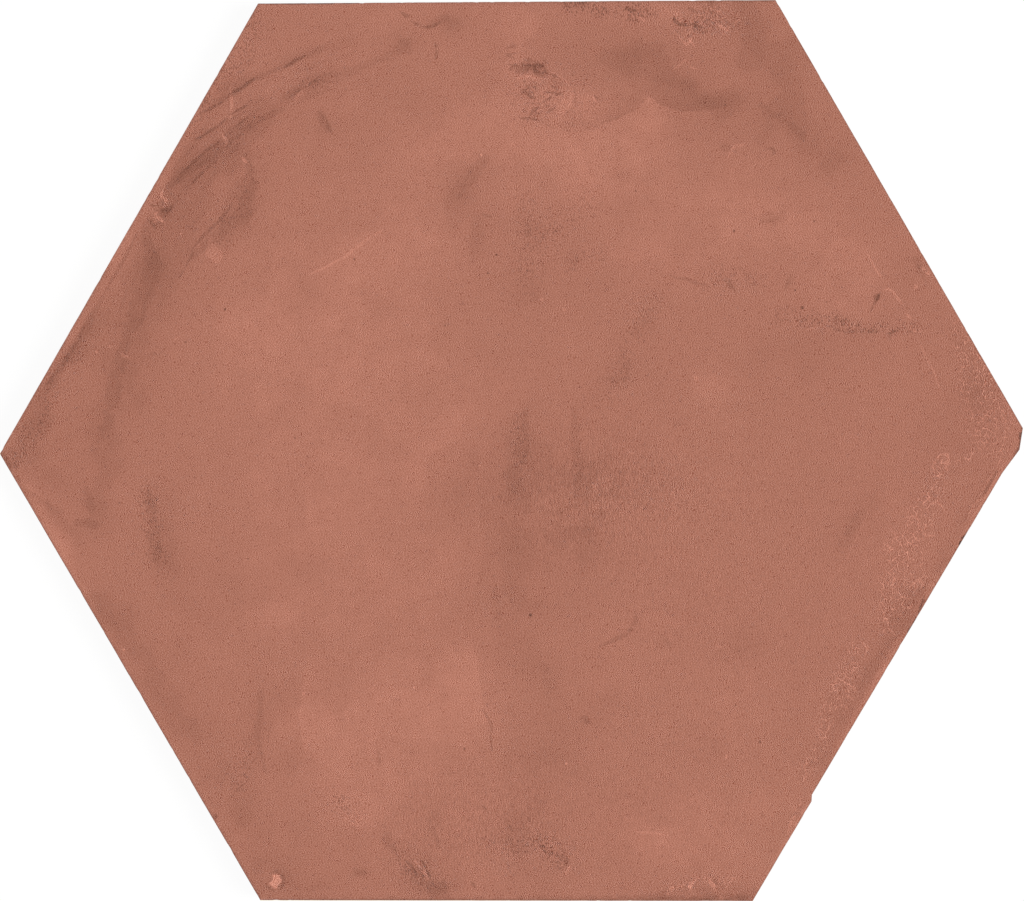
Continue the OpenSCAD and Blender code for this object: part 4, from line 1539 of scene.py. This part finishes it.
class Wear(ABC):
    """A kind of wear. Its own numbers are tones in grey levels, heights in millimetres and levels."""

    @abstractmethod
    def layer(self, bench: Bench, places: Value) -> Layer:
        """Works out what the wear adds. Each kind gives its own formula.

        Args:
            bench: the tree.
            places: where, in millimetres.

        Returns:
            Its tone and height.
        """


@dataclass(frozen=True)
class StainsAndEdgeShade:
    """The tone trace, its staining and the painted light and shade along the rim: blotchy, crisp where it
    passes two levels, and with crisp smudges on it.
    """

    wide: Pattern = Pattern(15.0, 5.0, 14, 0.7)
    wide_push: float = 9.0
    least: float = 0.8
    blotching: float = 0.9
    fine_tone: float = 2.6
    fine_height: float = 0.03
    dark_levels: Pair = (-6.0, -5.0)
    dark_tone: float = 2.5
    light_levels: Pair = (3.5, 4.5)
    light_tone: float = 1.5
    smudge_fray: float = 0.9
    smudge_levels: Pair = (0.4, 0.6)
    smudge_tone: float = 6.0

    def layer(self, bench: Bench, places: Value, fine: Value) -> Layer:
        """Tone trace times (least + blotching x fine noise), and a step in tone at each level; the trace
        holds staining and painted light and shade along the rim.

        Args:
            bench: the tree.
            places: where, in millimetres.
            fine: fine noise there.

        Returns:
            The stains' tone and height.
        """
        wide = bench.noise(places, self.wide)
        stain_and_edge_shade = bench.trace(Trace.TONE)
        level = stain_and_edge_shade + wide * self.wide_push
        dark_side = 1.0 - bench.step(level, *self.dark_levels)
        light_side = bench.step(level, *self.light_levels)
        smudge = bench.step(bench.trace(Trace.SMUDGE) + fine * self.smudge_fray, *self.smudge_levels)
        tone = stain_and_edge_shade * (fine * self.blotching + self.least) + fine * self.fine_tone
        tone = tone - dark_side * self.dark_tone + light_side * self.light_tone
        return Layer(tone - smudge * self.smudge_tone, fine * self.fine_height)


@dataclass(frozen=True)
class Streaks(Wear):
    """Rubbing marks: round the face's middle in the sweep, and straight up and down elsewhere."""

    middle: Pair = (-5.0, 4.0)
    radius: float = 93.0
    swept: Pattern = Pattern(1.3, 2.0, 4, 0.6, (1, 9, 1))
    swept_levels: Pair = (0.1, 0.2)
    swept_tone: float = -5.0
    combed: Pattern = Pattern(0.34, 0.0, 5, stretch=(1, 4, 1))
    combed_tone: float = 14.0
    combed_height: float = 0.04

    def layer(self, bench: Bench, places: Value) -> Layer:
        """Noise stretched along the rubbing: over (radius, arc) in the sweep, and over Y elsewhere.

        Args:
            bench: the tree.
            places: where, in millimetres.

        Returns:
            The streaks' tone and height.
        """
        across, along, _ = bench.axes(places)
        x, y = across - self.middle[0], along - self.middle[1]
        arc = bench.maths("ARCTAN2", x, y) * self.radius
        swept = bench.noise(bench.joined((x * x + y * y) ** 0.5, arc), self.swept)
        streak = bench.step(swept, *self.swept_levels) * bench.trace(Trace.SWEEP)
        combed = bench.noise(places, self.combed) * bench.trace(Trace.COMB)
        return Layer(streak * self.swept_tone + combed * self.combed_tone, combed * self.combed_height)


@dataclass(frozen=True)
class Crackle(Wear):
    """Curled skin: thin ridges on the borders of small wavy cells, broken up, on mottled ground."""

    wave_x: Pattern = Pattern(1.4, 1.0, 6)
    wave_y: Pattern = Pattern(1.4, 1.0, 16)
    wave: float = 0.7
    cells_per_mm: Triple = (0.85, 0.65, 0)
    gaps: Pattern = Pattern(1.5, 1.0, 7)
    gap_levels: Pair = (-0.15, 0.05)
    mottle: Pattern = Pattern(0.8, 1.0, 17)
    mottle_levels: Pair = (0.05, 0.3)
    ridge_levels: Pair = (0.1, 0.035)
    curled_levels: Pair = (0.1, 0.8)
    ridge_tone: float = 30.0
    ridge_height: float = 0.06
    mottle_tone: float = 6.0
    ground_tone: float = 2.0

    def layer(self, bench: Bench, places: Value) -> Layer:
        """Ridges where the distance to a cell's border is small, darker ground between them.

        Args:
            bench: the tree.
            places: where, in millimetres.

        Returns:
            The crackle's tone and height.
        """
        shift = bench.joined(
            bench.noise(places, self.wave_x) * self.wave,
            bench.noise(places, self.wave_y) * self.wave,
        )
        wavy = bench.vector("MULTIPLY", bench.vector("ADD", bench.flat(places), shift), self.cells_per_mm)
        cells = {"feature": "DISTANCE_TO_EDGE", "voronoi_dimensions": "2D"}
        border = bench.value("ShaderNodeTexVoronoi", cells, {"Vector": wavy, "Scale": 1.0})
        broken = bench.step(bench.noise(places, self.gaps), *self.gap_levels)
        mottled = bench.step(bench.noise(places, self.mottle), *self.mottle_levels)
        curled = bench.trace(Trace.CRACKLE)
        ridge = bench.step(border, *self.ridge_levels) * broken * bench.step(curled, *self.curled_levels)
        ground = curled * (mottled * self.mottle_tone + self.ground_tone)
        return Layer(ridge * self.ridge_tone - ground, ridge * self.ridge_height)


@dataclass(frozen=True)
class Pits(Wear):
    """Small open pores: dots at the seeds of some Voronoi cells."""

    cells_per_mm: Triple = (1.7, 1.2, 0)
    radii: Pair = (0.42, 0.2)
    crowding: float = 0.35
    chosen_levels: Pair = (0.6, 0.9)
    tone: float = -27.0
    height: float = -0.07

    def layer(self, bench: Bench, places: Value) -> Layer:
        """A cell has a pore when its random tint, plus crowding x how pitted it is there, is high.

        Args:
            bench: the tree.
            places: where, in millimetres.

        Returns:
            The pores' tone and height.
        """
        scaled = bench.vector("MULTIPLY", bench.flat(places), self.cells_per_mm)
        plane = {"voronoi_dimensions": "2D"}
        cells = bench.node("ShaderNodeTexVoronoi", plane, {"Vector": scaled, "Scale": 1.0})
        dot = bench.step(Value(bench, cells.outputs["Distance"]), *self.radii)
        tint = bench.value("ShaderNodeSeparateColor", None, {0: cells.outputs["Color"]})
        pitted = bench.trace(Trace.PITTED)
        chosen = bench.step(tint + pitted * self.crowding, *self.chosen_levels)
        mask = dot * chosen * bench.maths("MINIMUM", pitted, 1.0)
        return Layer(mask * self.tone, mask * self.height)


@dataclass(frozen=True)
class Lumps(Wear):
    """Lumpy skin: noise where the surface carries a trace."""

    where: Trace
    lumps: Pattern
    tone: float
    height: float

    def layer(self, bench: Bench, places: Value) -> Layer:
        """Noise times the trace."""
        lumps = bench.noise(places, self.lumps) * bench.trace(self.where)
        return Layer(lumps * self.tone, lumps * self.height)


@dataclass(frozen=True)
class DrawnLines(Wear):
    """Thin lines, ragged and here and there broken."""

    away: Trace
    line_tone: Trace
    ragged: Pattern = Pattern(0.8, 1.0, 9)
    raggedness: float = 0.8
    width_levels: Pair = (1.6, 0.8)
    gaps: Pattern = Pattern(1.3, 1.0, 10)
    gap_levels: Pair = (-0.5, 0.1)
    tone: float = 1.35
    height: float = 0.005

    def layer(self, bench: Bench, places: Value) -> Layer:
        """The line's tone where the ragged distance from it is small, apart from the gaps.

        Args:
            bench: the tree.
            places: where, in millimetres.

        Returns:
            The lines' tone and height.
        """
        ragged = abs(bench.trace(self.away) + bench.noise(places, self.ragged) * self.raggedness)
        gaps = bench.step(bench.noise(places, self.gaps), *self.gap_levels)
        drawn = bench.step(ragged, *self.width_levels) * gaps * bench.trace(self.line_tone)
        return Layer(drawn * self.tone, drawn * self.height)


@dataclass(frozen=True)
class Dots(Wear):
    """Pinholes and crumbs."""

    ragged: Pattern = Pattern(0.5, 0.0, 11)
    raggedness: float = 0.3
    width_levels: Pair = (1.4, 0.8)
    tone: float = 1.35
    height: float = 0.006

    def layer(self, bench: Bench, places: Value) -> Layer:
        """The dot's tone where the ragged distance from its middle is small.

        Args:
            bench: the tree.
            places: where, in millimetres.

        Returns:
            The dots' tone and height.
        """
        x, y = bench.trace(Trace.DOT_X), bench.trace(Trace.DOT_Y)
        radius = (x * x + y * y) ** 0.5 + bench.noise(places, self.ragged) * self.raggedness
        drawn = bench.step(radius, *self.width_levels) * bench.trace(Trace.DOT_TONE)
        return Layer(drawn * self.tone, drawn * self.height)


@dataclass(frozen=True)
class Films(Wear):
    """Films that end at a line, with a crisp uneven edge."""

    uneven: Pattern = Pattern(1.5, 3.0, 2)
    unevenness: float = 0.6
    edge_levels: Pair = (-0.15, 0.15)
    tone: float = 1.5
    height: float = -0.002

    def layer(self, bench: Bench, places: Value) -> Layer:
        """The film's tone inside its uneven edge.

        Args:
            bench: the tree.
            places: where, in millimetres.

        Returns:
            The films' tone and height.
        """
        edge = bench.trace(Trace.FILM_EDGE) + bench.noise(places, self.uneven) * self.unevenness
        drawn = bench.step(edge, *self.edge_levels) * bench.trace(Trace.FILM_TONE)
        return Layer(drawn * self.tone, drawn * self.height)


@dataclass(frozen=True)
class Grain:
    """Sandy grain: a random shade for each cell of the clay, less a part of its neighbours'."""

    size: float = 0.24
    push: Pair = (0.5, -0.4)
    across: Pair = (0.38, 0.09)
    along: Pair = (0.26, 0.05)
    bend: float = 0.35
    tone: float = 49.0
    speck_levels: Pair = (0.04, 0.015)
    speck_tone: float = 22.0

    def shade(self, bench: Bench, places: Value, drift: Value) -> Value:
        """Works the grain out. `across` and `along` are the shares of the next and the second cells.

        Args:
            bench: the tree.
            places: where, in millimetres.
            drift: noise that pushes the cells about, so that they line up with nothing.

        Returns:
            The grain in grey levels.
        """
        pushed = bench.vector("ADD", places, bench.joined(drift * self.push[0], drift * self.push[1]))
        cell = bench.vector("FLOOR", bench.vector("MULTIPLY", pushed, (1 / self.size,) * 3))

        def random(x: int, y: int) -> Value:
            """Random shade of the cell that lies so many cells away."""
            return bench.value("ShaderNodeTexWhiteNoise", None, {0: bench.vector("ADD", cell, (x, y, 0))})

        own = random(0, 0)
        next_x, second_x = self.across
        next_y, second_y = self.along
        across = (random(1, 0) + random(-1, 0)) * next_x - (random(2, 0) + random(-2, 0)) * second_x
        along = (random(0, 1) + random(0, -1)) * next_y - (random(0, 2) + random(0, -2)) * second_y
        sharp = own - across - along
        sharp = sharp * (1.0 - sharp * self.bend)
        speck = bench.step(own, *self.speck_levels)
        return (sharp * self.tone - speck * self.speck_tone) * bench.trace(Trace.GRAIN)


@dataclass(frozen=True)
class FiredClay:
    """Matt fired clay: an even red-brown body, its staining with painted light and shade along its rim, and
    its sandy grain.
    """

    body: Triple = (174.2, 113.5, 94.1)
    tone_tint: Triple = (1.2, 0.94, 0.88)
    grain_tint: Triple = (0.89, 1.03, 1.07)
    fine: Pattern = Pattern(4.0, 4.0, 3, 0.9)
    fine_grain_tone: float = 2.0
    grain: Grain = Grain()
    stains_and_edge_shade: StainsAndEdgeShade = StainsAndEdgeShade()
    wear: tuple[Wear, ...] = (
        Streaks(),
        Crackle(),
        Pits(),
        Lumps(Trace.SCUFF, Pattern(0.8, 1.0, 8), tone=16.0, height=0.09),
        DrawnLines(Trace.LINE_AWAY, Trace.LINE_TONE),
        DrawnLines(Trace.CROSS_AWAY, Trace.CROSS_TONE),
        Dots(),
        Films(),
        Lumps(Trace.RAW, Pattern(24.0, 6.0, 13, 0.7), tone=16.0, height=0.5),
    )
    roughness: float = 0.85
    tone_roughness: float = 0.004
    specular: float = 0.3

    @staticmethod
    def linear(shown: Value) -> Value:
        """Linear light of a shown level from 0 to 1: ((level + 0.055) / 1.055)^2.4."""
        return ((shown + SHOWN_OFFSET) * (1 / (1 + SHOWN_OFFSET))) ** SHOWN_POWER

    def make(self) -> bpy.types.Material:
        """Builds the material.

        Returns:
            The material.
        """
        material = bpy.data.materials.new("fired_clay_worn_and_shaded")
        material.use_nodes = True
        bench = Bench(material.node_tree)
        places = bench.value("ShaderNodeTexCoord", output="Object")
        places = bench.vector("MULTIPLY", places, (1 / MM, 1 / MM, 1 / MM))
        fine = bench.noise(places, self.fine)
        worn_and_shaded = self.stains_and_edge_shade.layer(bench, places, fine)
        for kind in self.wear:
            worn_and_shaded = worn_and_shaded + kind.layer(bench, places)
        grain = self.grain.shade(bench, places, fine) + fine * self.fine_grain_tone
        channels = {
            name: self.linear((worn_and_shaded.tone * tint + grain * grain_tint + body) * (1 / GREY_LEVELS))
            for name, body, tint, grain_tint in zip(COLOURS, self.body, self.tone_tint, self.grain_tint)
        }
        bump = {"Strength": 1.0, "Distance": MM, "Height": worn_and_shaded.height}
        shader = bench.node("ShaderNodeBsdfPrincipled", None, {
            "Base Color": bench.value("ShaderNodeCombineColor", None, channels),
            "Roughness": worn_and_shaded.tone * self.tone_roughness + self.roughness,
            "Specular IOR Level": self.specular,
            "Normal": bench.value("ShaderNodeBump", None, bump),
        })
        bench.finish("ShaderNodeOutputMaterial", shader.outputs[0])
        return material


# ---------- the studio


@dataclass(frozen=True)
class Studio:
    """A pale floor, soft light from the right, and a camera straight above the tile."""

    key_height: float = 50.0
    key_turn: float = -10.0
    key_spread: float = 30.0
    key_share: float = 0.58
    floor_half: float = 6.0
    floor_grey: float = 0.8
    white_share: float = 0.92
    white_strength: float = 1.03
    camera_distance: float = 1366.0
    camera_right: float = 0.15
    camera_lens: float = 200.0
    camera_sensor: float = 36.0

    @staticmethod
    def seen(bench: Bench) -> Value:
        """Tells the rays that see a surface from those that gather light.

        Args:
            bench: the tree.

        Returns:
            1 for a camera, glossy or transmission ray, and 0 for the others.
        """
        rays = bench.node("ShaderNodeLightPath")
        names = ("Is Camera Ray", "Is Glossy Ray", "Is Transmission Ray")
        camera, glossy, transmission = (Value(bench, rays.outputs[name]) for name in names)
        return bench.maths("MAXIMUM", bench.maths("MAXIMUM", camera, glossy), transmission)

    def floor(self, height: float) -> None:
        """Lays the floor under the tile. It is seen as mostly white, and keeps the tile's shadow.

        Args:
            height: the floor's height in metres.
        """
        half = self.floor_half
        mesh = bpy.data.meshes.new("studio_floor")
        corners = [(-half, -half, height), (half, -half, height), (half, half, height), (-half, half, height)]
        mesh.from_pydata(corners, [], [(0, 1, 2, 3)])
        material = bpy.data.materials.new("studio_floor_white")
        material.use_nodes = True
        bench = Bench(material.node_tree)
        lit = bench.node("ShaderNodeBsdfDiffuse", None, {"Color": (*[self.floor_grey] * 3, 1)})
        white = bench.node("ShaderNodeEmission", None, {"Strength": self.white_strength})
        mix = bench.node("ShaderNodeMixShader", None, {
            "Fac": self.seen(bench) * self.white_share,
            1: lit.outputs[0],
            2: white.outputs[0],
        })
        bench.finish("ShaderNodeOutputMaterial", mix.outputs[0])
        mesh.materials.append(material)
        floor = bpy.data.objects.new("studio_floor", mesh)
        bpy.context.scene.collection.objects.link(floor)

    def world(self) -> None:
        """Lights the scene evenly from all round, and shows white behind it."""
        world = bpy.data.worlds.new("studio_air")
        bpy.context.scene.world = world
        world.use_nodes = True
        bench = Bench(world.node_tree)
        strength = self.seen(bench) * self.key_share + (1 - self.key_share)
        background = bench.node("ShaderNodeBackground", None, {"Color": (1, 1, 1, 1), "Strength": strength})
        bench.finish("ShaderNodeOutputWorld", background.outputs[0])

    def key(self) -> None:
        """Hangs the soft key light: a sun whose light on a level surface is `key_share`."""
        light = bpy.data.lights.new("studio_key", "SUN")
        light.energy = self.key_share * math.pi / math.sin(math.radians(self.key_height))
        light.angle = math.radians(self.key_spread)
        lamp = bpy.data.objects.new("studio_key", light)
        height, turn = math.radians(self.key_height), math.radians(self.key_turn)
        level = math.cos(height)
        towards = Vector((level * math.cos(turn), level * math.sin(turn), math.sin(height)))
        lamp.location = towards
        lamp.rotation_mode = "QUATERNION"
        lamp.rotation_quaternion = towards.to_track_quat("Z", "Y")
        bpy.context.scene.collection.objects.link(lamp)

    def camera(self, face_height: float) -> None:
        """Stands the camera over the tile, looking straight down.

        Args:
            face_height: height of the wearing face in metres.
        """
        lens = bpy.data.cameras.new("studio_camera")
        lens.lens = self.camera_lens
        lens.sensor_width = self.camera_sensor
        camera = bpy.data.objects.new("studio_camera", lens)
        camera.location = (self.camera_right * MM, 0.0, face_height + self.camera_distance * MM)
        bpy.context.scene.collection.objects.link(camera)
        bpy.context.scene.camera = camera


def main() -> None:
    """Sets up the studio, then builds the tile and dresses it."""
    low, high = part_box(TILE_NODE)
    bpy.context.scene.view_settings.view_transform = "Standard"
    # the clay's grain is about as fine as a render's own noise, and must not be smoothed away
    bpy.context.scene.cycles.denoising_prefilter = "NONE"
    studio = Studio()
    studio.camera(high.z)
    studio.floor(low.z)
    studio.world()
    studio.key()

    tile = HexagonTile(low, high).build()
    tile.data.materials.append(FiredClay().make())
    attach(tile, "root")
    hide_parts(TILE_NODE)
    report.info("%s: %d points, %d faces", tile.name, len(tile.data.vertices), len(tile.data.polygons))


if __name__ == "__main__":
    main()
